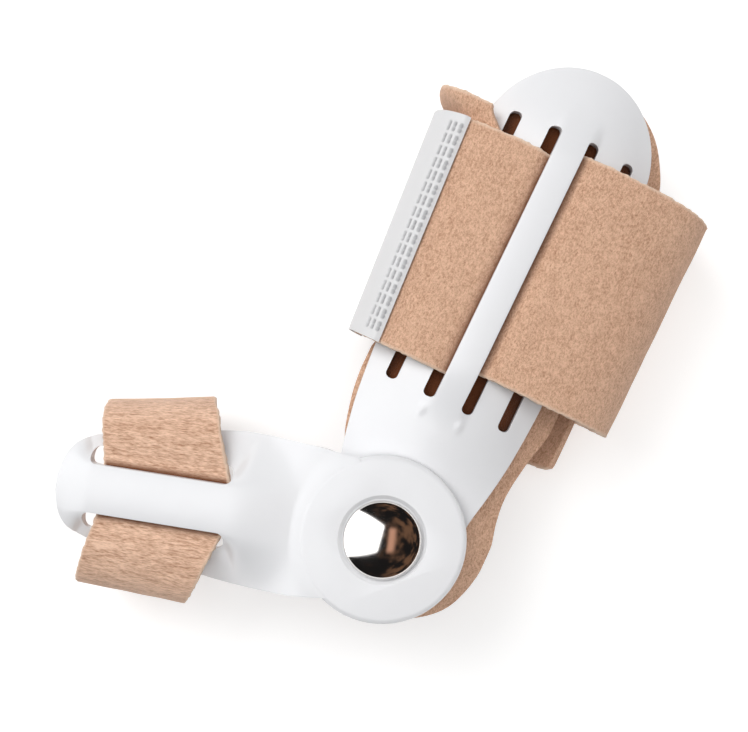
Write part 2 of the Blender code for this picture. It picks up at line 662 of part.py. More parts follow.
def tail_line(trim):
    """Middle line of the tail on the inside of the loop, up to its cut end less a trim."""
    depth = STRAP_THICKNESS / 2 + 2 * GAP + TAIL_THICKNESS / 2
    reach = FOOT_STRAP_RIGHT - STRAP_THICKNESS / 2 - STRAP_SHOULDER - depth
    bottom = FOOT_LOOP_MIDDLE - STRAP_THICKNESS / 2 - depth
    end = TAIL_RIGHT - trim
    turn = math.degrees(math.acos(((end - STRAP_SHOULDER) / reach) ** (LOOP_FULLNESS / 2)))
    curve = loop_arc((STRAP_SHOULDER, FOOT_LOOP_MIDDLE), reach, bottom, -turn, -90, 8)
    level = FOOT_LOOP_MIDDLE - bottom
    curve += [(x, level) for x in spread(STRAP_SHOULDER, TAIL_RIGHT - TAIL_LENGTH, 4)[1:]]
    return [(x, z, TAIL_THICKNESS, -TAIL_SLOPE * (TAIL_RIGHT - x)) for x, z in curve]


def make_strap_tail(fabric):
    """The strap's plain tail, lying inside the loop with its cut end to the right."""
    edges = ((-1.0, 1.0), (-0.97, 0.3), (-0.90, 0.0), (0.0, 0.0), (0.90, 0.0), (0.97, 0.3), (1.0, 1.0))
    lines = [tail_line(TAIL_CORNER * trim) for share, trim in edges]
    places = [TAIL_CENTRE_Y + share * FOOT_STRAP_WIDTH / 2 for share, trim in edges]
    return mesh_object("strap_tail", sheet(strap_rows(lines, places)), fabric, 50.0)


def main():
    clear_scene()
    plastic = material("white_plastic", (0.86, 0.87, 0.89), 0.22)
    tab_plastic = material("tab_white", (0.84, 0.84, 0.85), 0.5)
    fabric = material("brushed_loop_fabric", (0.70, 0.46, 0.33), 0.95)
    chrome = material("polished_chrome", (0.78, 0.77, 0.76), 0.06, 1.0)
    make_foot_shell(plastic)
    make_foot_pad(fabric)
    make_foot_strap(fabric)
    make_hook_tab(tab_plastic)
    make_strap_tail(fabric)
    make_rivet(chrome)
    pivot = bpy.data.objects.new("toe_pivot", None)
    pivot.location = HINGE
    pivot.rotation_euler = (0.0, 0.0, TOE_ANGLE)
    bpy.context.scene.collection.objects.link(pivot)
    for obj in (make_toe_shell(plastic), make_toe_strap(fabric)):
        obj.parent = pivot
    bpy.context.view_layer.update()


main()
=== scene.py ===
import math

import bmesh
import bpy
from mathutils import Matrix, Vector, noise


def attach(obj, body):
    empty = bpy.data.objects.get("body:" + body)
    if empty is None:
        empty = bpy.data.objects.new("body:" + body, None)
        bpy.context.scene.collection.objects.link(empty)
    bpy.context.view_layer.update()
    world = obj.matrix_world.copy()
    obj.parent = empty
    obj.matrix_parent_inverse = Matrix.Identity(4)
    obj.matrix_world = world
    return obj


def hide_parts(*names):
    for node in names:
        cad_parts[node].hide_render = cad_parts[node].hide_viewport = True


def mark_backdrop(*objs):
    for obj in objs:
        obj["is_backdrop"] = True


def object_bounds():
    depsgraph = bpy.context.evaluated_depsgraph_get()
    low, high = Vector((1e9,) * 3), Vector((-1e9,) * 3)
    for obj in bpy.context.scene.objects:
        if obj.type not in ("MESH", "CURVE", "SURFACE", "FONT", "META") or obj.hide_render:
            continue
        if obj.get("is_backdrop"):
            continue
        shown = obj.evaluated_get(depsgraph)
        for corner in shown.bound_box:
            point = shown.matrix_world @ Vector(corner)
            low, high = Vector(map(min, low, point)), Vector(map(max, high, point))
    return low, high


bl_info = {
    "name": "Bunion Corrector",
    "version": (1, 0, 0),
    "blender": (4, 5, 0),
    "location": "View3D > Sidebar > Splint",
    "description": "Builds the finished surfaces of a hinged bunion corrector around its solid frame",
    "category": "Object",
}

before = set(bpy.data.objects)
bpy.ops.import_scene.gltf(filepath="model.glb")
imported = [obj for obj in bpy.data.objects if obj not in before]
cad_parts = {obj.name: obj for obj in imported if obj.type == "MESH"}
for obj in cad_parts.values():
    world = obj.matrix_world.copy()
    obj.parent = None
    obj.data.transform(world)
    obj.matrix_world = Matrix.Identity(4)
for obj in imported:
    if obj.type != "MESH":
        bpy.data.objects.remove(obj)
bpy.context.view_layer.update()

# Sizes shared with the solids, in metres
GAP = 0.0003
HINGE_PLATE_TOP = 0.0330
FOOT_CROWN_RISE = 0.0010
SHELL_WALL = 0.0024
STRAP_FROM_HINGE = 0.0653
FOOT_BODY = 0.0893
FOOT_HALF_WIDTH = 0.0191
FOOT_ARCH_DROP = 0.0085
FOOT_DOME_FALL = 0.0040
FOOT_PLATE_RADIUS = 0.0153
SLOT_START = 0.0310
SLOT_END = 0.0936
SLOT_WIDTH = 0.0026
OUTER_SLOT_ACROSS = 0.0131
RIB_HALF_WIDTH = 0.0031
RIB_LIFT = 0.0008
TOE_ANGLE = math.radians(107.0)
TOE_OFFSET = 0.0013
TOE_REACH = 0.0694
TOE_HALF_WIDTH = 0.0163
TOE_ARCH_DROP = 0.0072
TOE_FALL = 0.0046
TOE_DISC_RADIUS = 0.0176
TOE_DISC_THICKNESS = 0.0032
TOE_DISC_STEP = 0.0009
TOE_BAR_HALF_WIDTH = 0.0051
TOE_BAR_LIFT = 0.0007
TOE_SLOT_WIDTH = 0.0036
TOE_SLOT_START = 0.0328
TOE_SLOT_END = 0.0630
CAP_RADIUS = 0.0082
CAP_HEIGHT = 0.0027
CAP_RECESS = 0.0008
CAP_RECESS_BEVEL = 0.0008
SHANK_RADIUS = 0.0022
RIVET_FOOT_RADIUS = 0.0045
RIVET_FOOT_THICKNESS = 0.0009
STRAP_THICKNESS = 0.0022
STRAP_PINCHED = 0.0018
FOOT_STRAP_WIDTH = 0.0508
TOE_STRAP_WIDTH = 0.0250
FOOT_STRAP_RIGHT = 0.0354
FOOT_STRAP_LEFT = 0.0262
FOOT_STRAP_SKEW = 0.0018
FOOT_LOOP_MIDDLE = 0.0180
LOOP_FULLNESS = 2.4
STRAP_SHOULDER = 0.0082
STRAP_CREST = 0.0010
TOE_STRAP_FROM_HINGE = 0.0500
TOE_STRAP_NEAR = 0.0202
TOE_STRAP_FAR = 0.0226
TOE_STRAP_TAPER = 0.0020
TOE_LOOP_MIDDLE = 0.0185
TOE_STRAP_SHOULDER = 0.0098
PAD_THICKNESS = 0.0040
PAD_LEFT = 0.0204
PAD_RIGHT = 0.0242
PAD_REACH = 0.1072
PAD_FLARE = math.tan(math.radians(30.0))
TAB_THICKNESS = 0.0011
TAB_START = 0.0204
TAIL_THICKNESS = 0.0020
TAIL_LENGTH = 0.0400
TAIL_RIGHT = 0.0288
TAIL_CORNER = 0.0013
TAIL_CENTRE_Y = -0.0123
TAIL_SLOPE = math.tan(math.radians(8.5))

# The finish of the moulded arms and the rivet, in metres
PLATE_TURN = 4.0
DOME_TURN = 85.5
RIB_RUNOUT = 0.0055
RIB_RAMP_IN = 0.0160
RIB_RAMP_OUT = 0.0113
RUNOUT_MARK = 0.00045
RUNOUT_BELOW = 0.0029
RUNOUT_WIDTH = 0.0007
RUNOUT_LENGTH = 0.0013
TOE_BAR_START = 0.0150
TOE_TIP_SPREAD = 0.0070
TOE_TIP_LEAD = 0.0010
TOE_TIP_EASE = 0.0040
TIP_FALL = 0.42
DISC_BLEND = 0.0045
DISC_LAP = 0.0008
DISC_SINK = 0.0001
DISC_EDGE = 0.0012
SLOT_CORNER = 0.42
CAP_RIM = 0.0004
SHANK_SINK = 0.0002

# The finish of the straps, the pad and the tab, in metres and degrees
RIB_DIVE = 0.0008
BAR_DIVE = 0.0004
LEFT_LAYER_SLIDE = -0.0032
RIGHT_LAYER_SLIDE = -0.0003
UNDER_LAYER_SHIFT = 0.0030
UNDER_LAYER_BULGE = 0.0046
UNDER_LAYER_END = 100.0
UNDER_LAYER_SLANT = 14.0
TOE_STRAP_PULL = 0.0035
TOE_STRAP_OUTWARD = 0.0012
TOE_STRAP_SPREAD = 0.0010
TOE_STRAP_SLANT = 0.0155
TOE_STRAP_TUCK = 0.0045
TOE_TUCK_START = 1.6
SHADE_REACH = 0.0017
FRAY = 0.00030
FRAY_SCALE = 1400.0
FRAY_SEED = 5
STRAP_EDGE = 0.0007
TAIL_EDGE = 0.0006
PAD_EDGE = 0.0013
PAD_SEAT = 0.00005
PAD_LAP = 0.0008
# Painted shade on the pad: its inset from the shell's edge, where it starts and how far it fades
PAD_SHADE_INSET = 0.0006
PAD_SHADE_START = 0.0015
PAD_SHADE_FADE = 0.0035
TAB_EDGE = 0.00015
TAB_SPLAY = 0.0028
TAB_FEATHER = 0.0008
TAB_FEATHER_WIDTH = 0.0009
TAB_WRAP = 216
DENT_COLUMNS = (0.0010, 0.0026, 0.0042)
DENT_ROWS = 17
DENT_PITCH = 0.0028
DENT_LOBE_APART = 0.00050
DENT_LOBE_ALONG = 0.00045
DENT_LOBE_ACROSS = 0.00066

# Uneven swelling of each soft piece: its amount, the noise's scale and its seed
FOOT_STRAP_SWELL = (0.00016, 160.0, 1)
TOE_STRAP_SWELL = (0.00018, 170.0, 2)
TAIL_SWELL = (0.00012, 150.0, 3)
PAD_SWELL = (0.00008, 140.0, 4)

FOOT_SECTIONS = (
    # along, half_width, arch, rise
    (0.000, 0.800, 0.00, 0.00),
    (0.060, 0.785, 0.03, 0.00),
    (0.112, 0.790, 0.12, 0.00),
    (0.190, 0.868, 0.33, 0.00),
    (0.270, 0.935, 0.60, 0.55),
    (0.350, 0.975, 0.83, 0.90),
    (0.430, 1.000, 1.00, 1.00),
    (0.700, 1.000, 1.00, 1.00),
    (1.000, 0.995, 1.00, 1.00),
)
TOE_SECTIONS = (
    # along, half_width, arch, fall
    (0.100, 0.900, 0.00, 0.00),
    (0.190, 0.950, 0.00, 0.00),
    (0.250, 0.975, 0.06, 0.02),
    (0.320, 0.990, 0.34, 0.12),
    (0.400, 1.000, 0.72, 0.26),
    (0.480, 0.990, 1.00, 0.36),
    (0.620, 0.900, 0.88, 0.48),
    (0.780, 0.785, 0.68, 0.62),
    (0.900, 0.680, 0.50, 0.74),
    (0.945, 0.590, 0.38, 0.82),
    (0.972, 0.480, 0.26, 0.89),
    (0.990, 0.310, 0.12, 0.95),
    (1.000, 0.100, 0.02, 1.00),
)
PAD_SECTIONS = (
    # along, left, right
    (-0.138, 0.00, 0.42),
    (-0.120, -0.25, 0.60),
    (-0.080, -0.47, 0.79),
    (-0.030, -0.61, 0.89),
    (0.020, -0.68, 0.93),
    (0.070, -0.71, 0.93),
    (0.120, -0.76, 0.88),
    (0.170, -0.86, 0.86),
    (0.250, -0.95, 0.91),
    (0.330, -0.97, 1.00),
    (0.390, -0.87, 1.00),
    (0.600, -0.87, 1.00),
    (0.800, -0.87, 0.97),
    (0.870, -0.82, 0.94),
    (0.920, -0.66, 0.82),
    (0.955, -0.46, 0.69),
    (0.980, -0.26, 0.53),
    (1.000, 0.05, 0.33),
)

HINGE = Vector((0.0, -STRAP_FROM_HINGE, 0.0))
TOE_DISC_BOTTOM = HINGE_PLATE_TOP + GAP
TOE_DISC_TOP = TOE_DISC_BOTTOM + TOE_DISC_THICKNESS
FOOT_CROWN = HINGE_PLATE_TOP + FOOT_CROWN_RISE
TOE_CROWN = TOE_DISC_TOP - TOE_DISC_STEP
FOOT_PLACE = Matrix.Translation(HINGE)
TOE_PLACE = FOOT_PLACE @ Matrix.Rotation(TOE_ANGLE, 4, 'Z')
STRAP_PLACE = Matrix.Identity(4)
# Painted shade: dark brown for the pad under the shell and for the straps where they dive under the rib and
# the bar
PAINTED_SHADE_COLOR = (0.13, 0.040, 0.014)
# The cut edges' paler tone together with a painted highlight where their loose fibres catch the light
CUT_EDGE_TONE_AND_HIGHLIGHT = (0.80, 0.60, 0.46)
# Painted shade: grey for the weld dents of the hook tab
DENT_SHADE_COLOR = (0.30, 0.30, 0.31)

# The stage: its sizes in metres, and straight edges of the shapes that the chrome reflects,
# each with its share across, its share ahead, its offset and its softness
FLOOR_SIZE = 3.0
FLOOR_DROP = 0.0001
VIEW_CENTRE = Vector((-0.0172, -0.0335, 0.0))
SENSOR_WIDTH = 36.0
DOME_RADIUS = 1.8
PANEL_EDGES = (
    (-0.9, -1.0, 0.11, 0.04),
    (-0.307, 1.0, 0.283, 0.04),
    (-1.0, 0.277, -0.002, 0.02),
)
STRIPE_EDGES = (
    (1.0, -0.15, -0.10, 0.03),
    (-1.0, 0.15, 0.21, 0.05),
    (0.0, -1.0, 0.06, 0.05),
    (0.0, 1.0, 0.32, 0.05),
)
HORIZON_EDGE = (-1.0, 0.0, 0.06, 0.12)
STUDIO_DARK = (0.012, 0.011, 0.011)
STUDIO_WARM = (0.16, 0.085, 0.05)
STUDIO_STRIPE = (0.62, 0.33, 0.22)
STUDIO_WHITE = (2.8, 2.8, 2.8)
LIGHTS = (
    # name, right, ahead, up, share of the key's power, width, height, colour
    ("key_softbox", -0.60, 0.62, 1.00, 1.00, 0.75, 0.75, (1.0, 0.995, 0.985)),
    ("side_softbox", 0.90, -0.20, 0.80, 0.18, 0.60, 0.80, (1.0, 0.985, 0.97)),
    ("top_softbox", 0.00, 0.10, 1.20, 0.62, 1.00, 1.00, (1.0, 1.0, 1.0)),
)


def color_setting(name, description, default):
    """A colour that can be set in the panel."""
    return bpy.props.FloatVectorProperty(
        name=name, description=description, default=default, subtype='COLOR', size=3, min=0.0, max=1.0)


def length_setting(name, description, default, low, high):
    """A length that can be set in the panel."""
    return bpy.props.FloatProperty(
        name=name, description=description, default=default, unit='LENGTH', min=low, max=high)


def number_setting(name, description, default, high):
    """A plain number that can be set in the panel."""
    return bpy.props.FloatProperty(name=name, description=description, default=default, min=0.0, max=high)


class SplintFinish(bpy.types.PropertyGroup):
    """Colours and surface sizes of the splint"""
    plastic_color: color_setting("Plastic", "Colour of the moulded arms", (0.775, 0.78, 0.80))
    fabric_color: color_setting("Fabric", "Colour of the brushed loop fabric", (0.785, 0.507, 0.355))
    toe_fabric_color: color_setting("Toe Fabric", "Colour of the narrow strap's fabric", (0.86, 0.585, 0.43))
    fabric_dark: color_setting("Fabric Shade", "Colour between the fabric's fibres", (0.405, 0.210, 0.124))
    tab_color: color_setting("Tab", "Colour of the hook tab", (0.66, 0.66, 0.67))
    edge_radius: length_setting("Moulded Edge", "Radius of the arms' moulded edges", 0.0005, 0.0001, 0.001)
    dent_depth: length_setting("Weld Dents", "Depth of the weld dents in the tab", 0.00065, 0.0, 0.0008)


class SplintStage(bpy.types.PropertyGroup):
    """Camera and light"""
    lens: number_setting("Lens", "Focal length of the camera in millimetres", 69.3, 200.0)
    height: length_setting("Height", "Camera above the floor", 0.335, 0.1, 2.0)
    turn: bpy.props.FloatProperty(
        name="Turn", description="Camera turned about the vertical", default=math.radians(25.7),
        subtype='ANGLE')
    floor_glow: number_setting("Floor Glow", "Light given off by the floor, for a white ground", 0.46, 1.0)
    key_power: number_setting("Key", "Power of the large soft light in watts", 9.5, 100.0)
    fill: number_setting("Fill", "Strength of the light from all round", 0.24, 5.0)


def spread(low, high, count):
    """count values from low to high."""
    return [low + (high - low) * i / (count - 1) for i in range(count)]


def read_table(table, column, place):
    """One column of a section table at a place between its rows, smoothly."""
    places = [row[0] for row in table]
    values = [row[column] for row in table]
    if place <= places[0]:
        return values[0]
    if place >= places[-1]:
        return values[-1]
    i = max(k for k in range(len(places) - 1) if places[k] <= place)
    slopes = []
    for k in (i, i + 1):
        before = max(k - 1, 0)
        after = min(k + 1, len(places) - 1)
        slopes.append((values[after] - values[before]) / (places[after] - places[before]))
    span = places[i + 1] - places[i]
    t = (place - places[i]) / span
    blend_in = t * t * (3 - 2 * t)
    start_pull = t * (1 - t) ** 2 * span
    end_pull = t * t * (1 - t) * span
    between = values[i] * (1 - blend_in) + values[i + 1] * blend_in
    cubic = between + slopes[0] * start_pull - slopes[1] * end_pull
    low = min(values[i], values[i + 1])
    high = max(values[i], values[i + 1])
    return min(max(cubic, low), high)


def deselect_all():
    """Leaves nothing selected and object mode on."""
    if bpy.context.mode != 'OBJECT':
        bpy.ops.object.mode_set(mode='OBJECT')
    bpy.ops.object.select_all(action='DESELECT')


def take(obj):
    """Makes one object the selected and active one."""
    deselect_all()
    obj.select_set(True)
    bpy.context.view_layer.objects.active = obj


def apply_modifier(obj, kind, **settings):
    """Adds one modifier and applies it."""
    take(obj)
    modifier = obj.modifiers.new(kind.title(), kind)
    for key, value in settings.items():
        setattr(modifier, key, value)
    bpy.ops.object.modifier_apply(modifier=modifier.name)


def cut_or_join(obj, tool, operation):
    """A Boolean with a tool object, applied, after which the tool is gone."""
    apply_modifier(obj, 'BOOLEAN', object=tool, operation=operation, solver='EXACT')
    bpy.data.objects.remove(tool, do_unlink=True)


def settle(obj, place=Matrix.Identity(4)):
    """Moves the mesh to its place, with the object left at the origin."""
    take(obj)
    bpy.ops.object.transform_apply(location=True, rotation=True, scale=True)
    obj.data.transform(place)


def new_shape(add, name="tool", **settings):
    """A fresh primitive mesh from its operator, with the object left at the origin."""
    deselect_all()
    add(**settings)
    obj = bpy.context.object
    obj.name = name
    obj.data.name = name
    settle(obj)
    return obj


def new_grid(name, columns, rows):
    """A fresh grid from -1 to 1 both ways, with columns and rows of faces."""
    return new_shape(bpy.ops.mesh.primitive_grid_add, name, x_subdivisions=columns, y_subdivisions=rows,
                     size=2)


def place_grid(obj, where):
    """Puts each grid point at where(across, along), both from -1 to 1."""
    for vertex in obj.data.vertices:
        vertex.co = where(vertex.co.x, vertex.co.y)
    obj.data.update()


def edit_picked(obj, domain, keep, operator, **settings):
    """Runs one edit-mode operator on the edges or faces for which keep(centre, run or normal) holds."""
    take(obj)
    bpy.ops.object.mode_set(mode='EDIT')
    bpy.ops.mesh.select_mode(type=domain)
    bpy.ops.mesh.select_all(action='DESELECT')
    bm = bmesh.from_edit_mesh(obj.data)
    items = bm.edges if domain == 'EDGE' else bm.faces
    for item in items:
        if domain == 'EDGE':
            ends = [vertex.co for vertex in item.verts]
            chosen = keep((ends[0] + ends[1]) / 2, ends[1] - ends[0])
        else:
            chosen = keep(item.calc_center_median(), item.normal)
        if chosen:
            item.select_set(True)
    bm.select_flush_mode()
    bmesh.update_edit_mesh(obj.data)
    operator(**settings)
    bpy.ops.object.mode_set(mode='OBJECT')


def edit_all(obj, operator, **settings):
    """Runs one edit-mode operator on all of a mesh."""
    take(obj)
    bpy.ops.object.mode_set(mode='EDIT')
    bpy.ops.mesh.select_all(action='SELECT')
    operator(**settings)
    bpy.ops.object.mode_set(mode='OBJECT')


def mark_points(obj, name, values):
    """Stores one number for each of a mesh's points, for its material to read."""
    obj.data.attributes.new(name, 'FLOAT', 'POINT').data.foreach_set('value', values)


def finish_piece(obj, body, material, nodes=(), angle=40.0):
    """Gives a piece its shading, its material in a single slot and its body, and hides the solids that it
    stands for.
    """
    take(obj)
    bpy.ops.object.shade_smooth_by_angle(angle=math.radians(angle))
    obj.data.materials.clear()
    obj.data.materials.append(material)
    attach(obj, body)
    if nodes:
        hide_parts(*nodes)


def arch_point(share, half_width, drop, crown):
    """Point (x, z) on the top of an arched wall, at a share of its half width."""
    if drop < 1e-5:
        return share * half_width, crown
    radius = (half_width ** 2 + drop ** 2) / (2 * drop)
    angle = math.asin(min(half_width / radius, 1.0)) * share
    return radius * math.sin(angle), crown - radius * (1 - math.cos(angle))


def foot_section(along):
    """Half width, arch drop and crown height of the foot arm at a distance from the hinge."""
    if along < 0:
        return math.sqrt(max(FOOT_PLATE_RADIUS ** 2 - along ** 2, 1e-8)), 0.0, HINGE_PLATE_TOP
    share = along / FOOT_BODY
    half_width = FOOT_HALF_WIDTH * read_table(FOOT_SECTIONS, 1, share)
    drop = FOOT_ARCH_DROP * read_table(FOOT_SECTIONS, 2, share)
    crown = HINGE_PLATE_TOP + FOOT_CROWN_RISE * read_table(FOOT_SECTIONS, 3, share)
    past = max(along - FOOT_BODY, 0.0) / FOOT_HALF_WIDTH
    if past > 0:
        narrow = math.sqrt(max(1 - past ** 2, 1e-4))
        half_width = half_width * narrow
        drop = drop * narrow ** 2
        crown = crown - FOOT_DOME_FALL * past ** 2
    return half_width, drop, crown


def toe_section(along):
    """Half width, arch drop and crown height of the toe arm at a distance from the hinge."""
    share = along / TOE_REACH
    half_width = TOE_HALF_WIDTH * read_table(TOE_SECTIONS, 1, share)
    drop = TOE_ARCH_DROP * read_table(TOE_SECTIONS, 2, share)
    crown = TOE_CROWN - TOE_FALL * read_table(TOE_SECTIONS, 3, share)
    return half_width, drop, crown


def ease(value):
    """A smooth step from 0 to 1."""
    t = min(max(value, 0.0), 1.0)
    return t * t * (3 - 2 * t)


def foot_rise(x, along):
    """How far the rib stands above the foot arm's arch."""
    beside = 1 - ease((abs(x) - RIB_HALF_WIDTH) / SLOT_WIDTH)
    entering = ease((along - SLOT_START + RIB_RUNOUT) / RIB_RAMP_IN)
    leaving = ease((SLOT_END + RIB_RUNOUT - along) / RIB_RAMP_OUT)
    off_slot = (abs(x) - RIB_HALF_WIDTH - SLOT_WIDTH / 2) / RUNOUT_WIDTH
    off_end = (along - SLOT_START + RUNOUT_BELOW) / RUNOUT_LENGTH
    mark = RUNOUT_MARK * math.exp(-off_slot ** 2 - off_end ** 2)
    return (RIB_LIFT + SHELL_WALL) * beside * min(entering, leaving) + mark


def toe_rise(x, along):
    """How far the bar and its run-outs stand above the toe arm's arch, with the swelling at the disc."""
    outside = max(TOE_SLOT_START - along, along - TOE_SLOT_END)
    wide = TOE_SLOT_WIDTH + TOE_TIP_SPREAD * ease(outside / TOE_TIP_EASE)
    beside = 1 - ease((abs(x) - TOE_BAR_HALF_WIDTH) / wide)
    entering = ease((along - TOE_BAR_START) / (TOE_SLOT_START - TOE_BAR_START))
    tip = 1 - TIP_FALL * ease((along - TOE_SLOT_END + TOE_TIP_LEAD) / (TOE_REACH - TOE_SLOT_END))
    bar = (TOE_BAR_LIFT + SHELL_WALL) * beside * entering * tip
    away = math.hypot(x + TOE_OFFSET, along)
    disc = (TOE_DISC_STEP - DISC_SINK) * (1 - ease((away - TOE_DISC_RADIUS + DISC_LAP) / DISC_BLEND))
    return max(bar, disc)


def foot_station(share):
    """Distance from the hinge for a share of the foot arm's length, closer together at its round ends."""
    plate_end = 0.12
    dome_start = 0.84
    if share < plate_end:
        turn = PLATE_TURN + (90 - PLATE_TURN) * share / plate_end
        return -FOOT_PLATE_RADIUS * math.cos(math.radians(turn))
    if share < dome_start:
        return FOOT_BODY * (share - plate_end) / (dome_start - plate_end)
    turn = DOME_TURN * (share - dome_start) / (1 - dome_start)
    return FOOT_BODY + FOOT_HALF_WIDTH * math.sin(math.radians(turn))


def toe_station(share):
    """Distance from the hinge for a share of the toe arm's length, closer together at its tip."""
    start = TOE_SECTIONS[0][0] * TOE_REACH
    eased = math.sin(share * math.pi / 2) ** 0.8
    even = 0.55
    mixed = even * share + (1 - even) * eased
    return start + (TOE_REACH - start) * mixed


def slot_cutter(width, start, end, across):
    """A tall box with rounded upright corners, the cutter for one slot."""
    centre = (across, (start + end) / 2, FOOT_CROWN - 0.5 * FOOT_ARCH_DROP)
    size = (width, end - start, 3 * FOOT_ARCH_DROP)
    cutter = new_shape(bpy.ops.mesh.primitive_cube_add, size=1, location=centre, scale=size)
    edit_picked(cutter, 'EDGE', lambda centre, run: abs(run.z) > 0.5 * run.length, bpy.ops.mesh.bevel,
                offset=width * SLOT_CORNER, segments=6, affect='EDGES')
    return cutter


def bevelled(obj, width):
    """Rounds an object's hard edges."""
    apply_modifier(obj, 'BEVEL', width=width, segments=3, limit_method='ANGLE',
                   angle_limit=math.radians(38.0), use_clamp_overlap=True, harden_normals=False)


def drum(radius, bottom, top, sides=128):
    """An upright cylinder between two heights."""
    return new_shape(bpy.ops.mesh.primitive_cylinder_add, vertices=sides, radius=radius,
                     depth=top - bottom, location=(0, 0, (top + bottom) / 2))


def arched_shell(name, columns, rows, station_at, section_at, rise_at, offset):
    """An arm's wall: a grid on its arch, with the rib or bar drawn up in it."""
    shell = new_grid(name, columns, rows)

    def where(across, along):
        station = station_at((along + 1) / 2)
        x, z = arch_point(across, *section_at(station))
        return Vector((x + offset, station, z + rise_at(x, station)))

    place_grid(shell, where)
    apply_modifier(shell, 'SOLIDIFY', thickness=SHELL_WALL, offset=-1.0, use_even_offset=True)
    return shell


def finish_shell(shell, place, body, node, look):
    """Bores an arm for the rivet, rounds its edges and puts it in its place."""
    cut_or_join(shell, drum(SHANK_RADIUS + GAP, 0.0, 2 * HINGE_PLATE_TOP), 'DIFFERENCE')
    bevelled(shell, bpy.context.scene.splint_finish.edge_radius)
    settle(shell, place)
    finish_piece(shell, body, look, [node], 35.0)


def make_foot_shell(look):
    """The foot arm: its arched wall with the rib, cut by four slots and the rivet's well."""
    shell = arched_shell("foot_shell_moulded", 78, 200, foot_station, foot_section, foot_rise, 0.0)
    beside_rib = RIB_HALF_WIDTH + SLOT_WIDTH / 2
    for across in (-OUTER_SLOT_ACROSS, -beside_rib, beside_rib, OUTER_SLOT_ACROSS):
        cut_or_join(shell, slot_cutter(SLOT_WIDTH, SLOT_START, SLOT_END, across), 'DIFFERENCE')
    well_top = HINGE_PLATE_TOP - SHELL_WALL + RIVET_FOOT_THICKNESS + GAP
    cut_or_join(shell, drum(RIVET_FOOT_RADIUS + GAP, 0.0, well_top), 'DIFFERENCE')
    finish_shell(shell, FOOT_PLACE, "foot", "foot_shell", look)


def make_toe_shell(look):
    """The toe arm: its arched wall with the bar, the hinge disc, two slots and the cap's recess."""
    shell = arched_shell("toe_shell_moulded", 78, 150, toe_station, toe_section, toe_rise, TOE_OFFSET)
    disc = drum(TOE_DISC_RADIUS, TOE_DISC_BOTTOM, TOE_DISC_TOP, 160)
    edit_picked(disc, 'EDGE', lambda centre, run: centre.z > TOE_DISC_TOP - 1e-5, bpy.ops.mesh.bevel,
                offset=DISC_EDGE, segments=6, affect='EDGES')
    cut_or_join(shell, disc, 'UNION')
    beside_bar = TOE_BAR_HALF_WIDTH + TOE_SLOT_WIDTH / 2
    for across in (TOE_OFFSET - beside_bar, TOE_OFFSET + beside_bar):
        cutter = slot_cutter(TOE_SLOT_WIDTH, TOE_SLOT_START, TOE_SLOT_END, across)
        cut_or_join(shell, cutter, 'DIFFERENCE')
    deep = 2 * CAP_RECESS
    inner = CAP_RADIUS + GAP
    outer = inner + deep * CAP_RECESS_BEVEL / CAP_RECESS
    recess = new_shape(bpy.ops.mesh.primitive_cone_add, vertices=160, radius1=inner, radius2=outer,
                       depth=deep, location=(0, 0, TOE_DISC_TOP - CAP_RECESS + deep / 2))
    cut_or_join(shell, recess, 'DIFFERENCE')
    finish_shell(shell, TOE_PLACE, "toe", "toe_shell", look)


def make_rivet(look):
    """The rivet: half a flattened ball for the cap, with a brim, a shank and a flat foot."""
    seat = TOE_DISC_TOP - CAP_RECESS + GAP
    middle = (0, 0, seat + CAP_RIM)
    flat = (1.0, 1.0, (CAP_HEIGHT - CAP_RIM) / CAP_RADIUS)
    cap = new_shape(bpy.ops.mesh.primitive_uv_sphere_add, "hinge_rivet_polished", segments=96,
                    ring_count=48, radius=CAP_RADIUS, location=middle, scale=flat)
    edit_all(cap, bpy.ops.mesh.bisect, plane_co=middle, plane_no=(0, 0, 1), clear_inner=True, use_fill=True)
    edit_picked(cap, 'FACE', lambda centre, normal: normal.z < -0.9, bpy.ops.mesh.extrude_region_move,
                TRANSFORM_OT_translate={"value": (0, 0, -CAP_RIM)})
    bottom = HINGE_PLATE_TOP - SHELL_WALL
    cut_or_join(cap, drum(SHANK_RADIUS, bottom + SHANK_SINK, seat + CAP_RIM / 2, 48), 'UNION')
    cut_or_join(cap, drum(RIVET_FOOT_RADIUS, bottom, bottom + RIVET_FOOT_THICKNESS, 64), 'UNION')
    settle(cap, FOOT_PLACE)
    finish_piece(cap, "foot", look, ["hinge_rivet"], 50.0)


def loop_arc(centre, reach, height, start, end, count):
    """Points (x, z) on a full elliptical arc. Angles in degrees, 0 towards +X and 90 up."""
    power = 2 / LOOP_FULLNESS
    points = []
    for degrees in spread(start, end, count):
        angle = math.radians(degrees)
        c = math.cos(angle)
        s = math.sin(angle)
        x = centre[0] + math.copysign(reach * abs(c) ** power, c)
        z = centre[1] + math.copysign(height * abs(s) ** power, s)
        points.append((x, z))
    return points


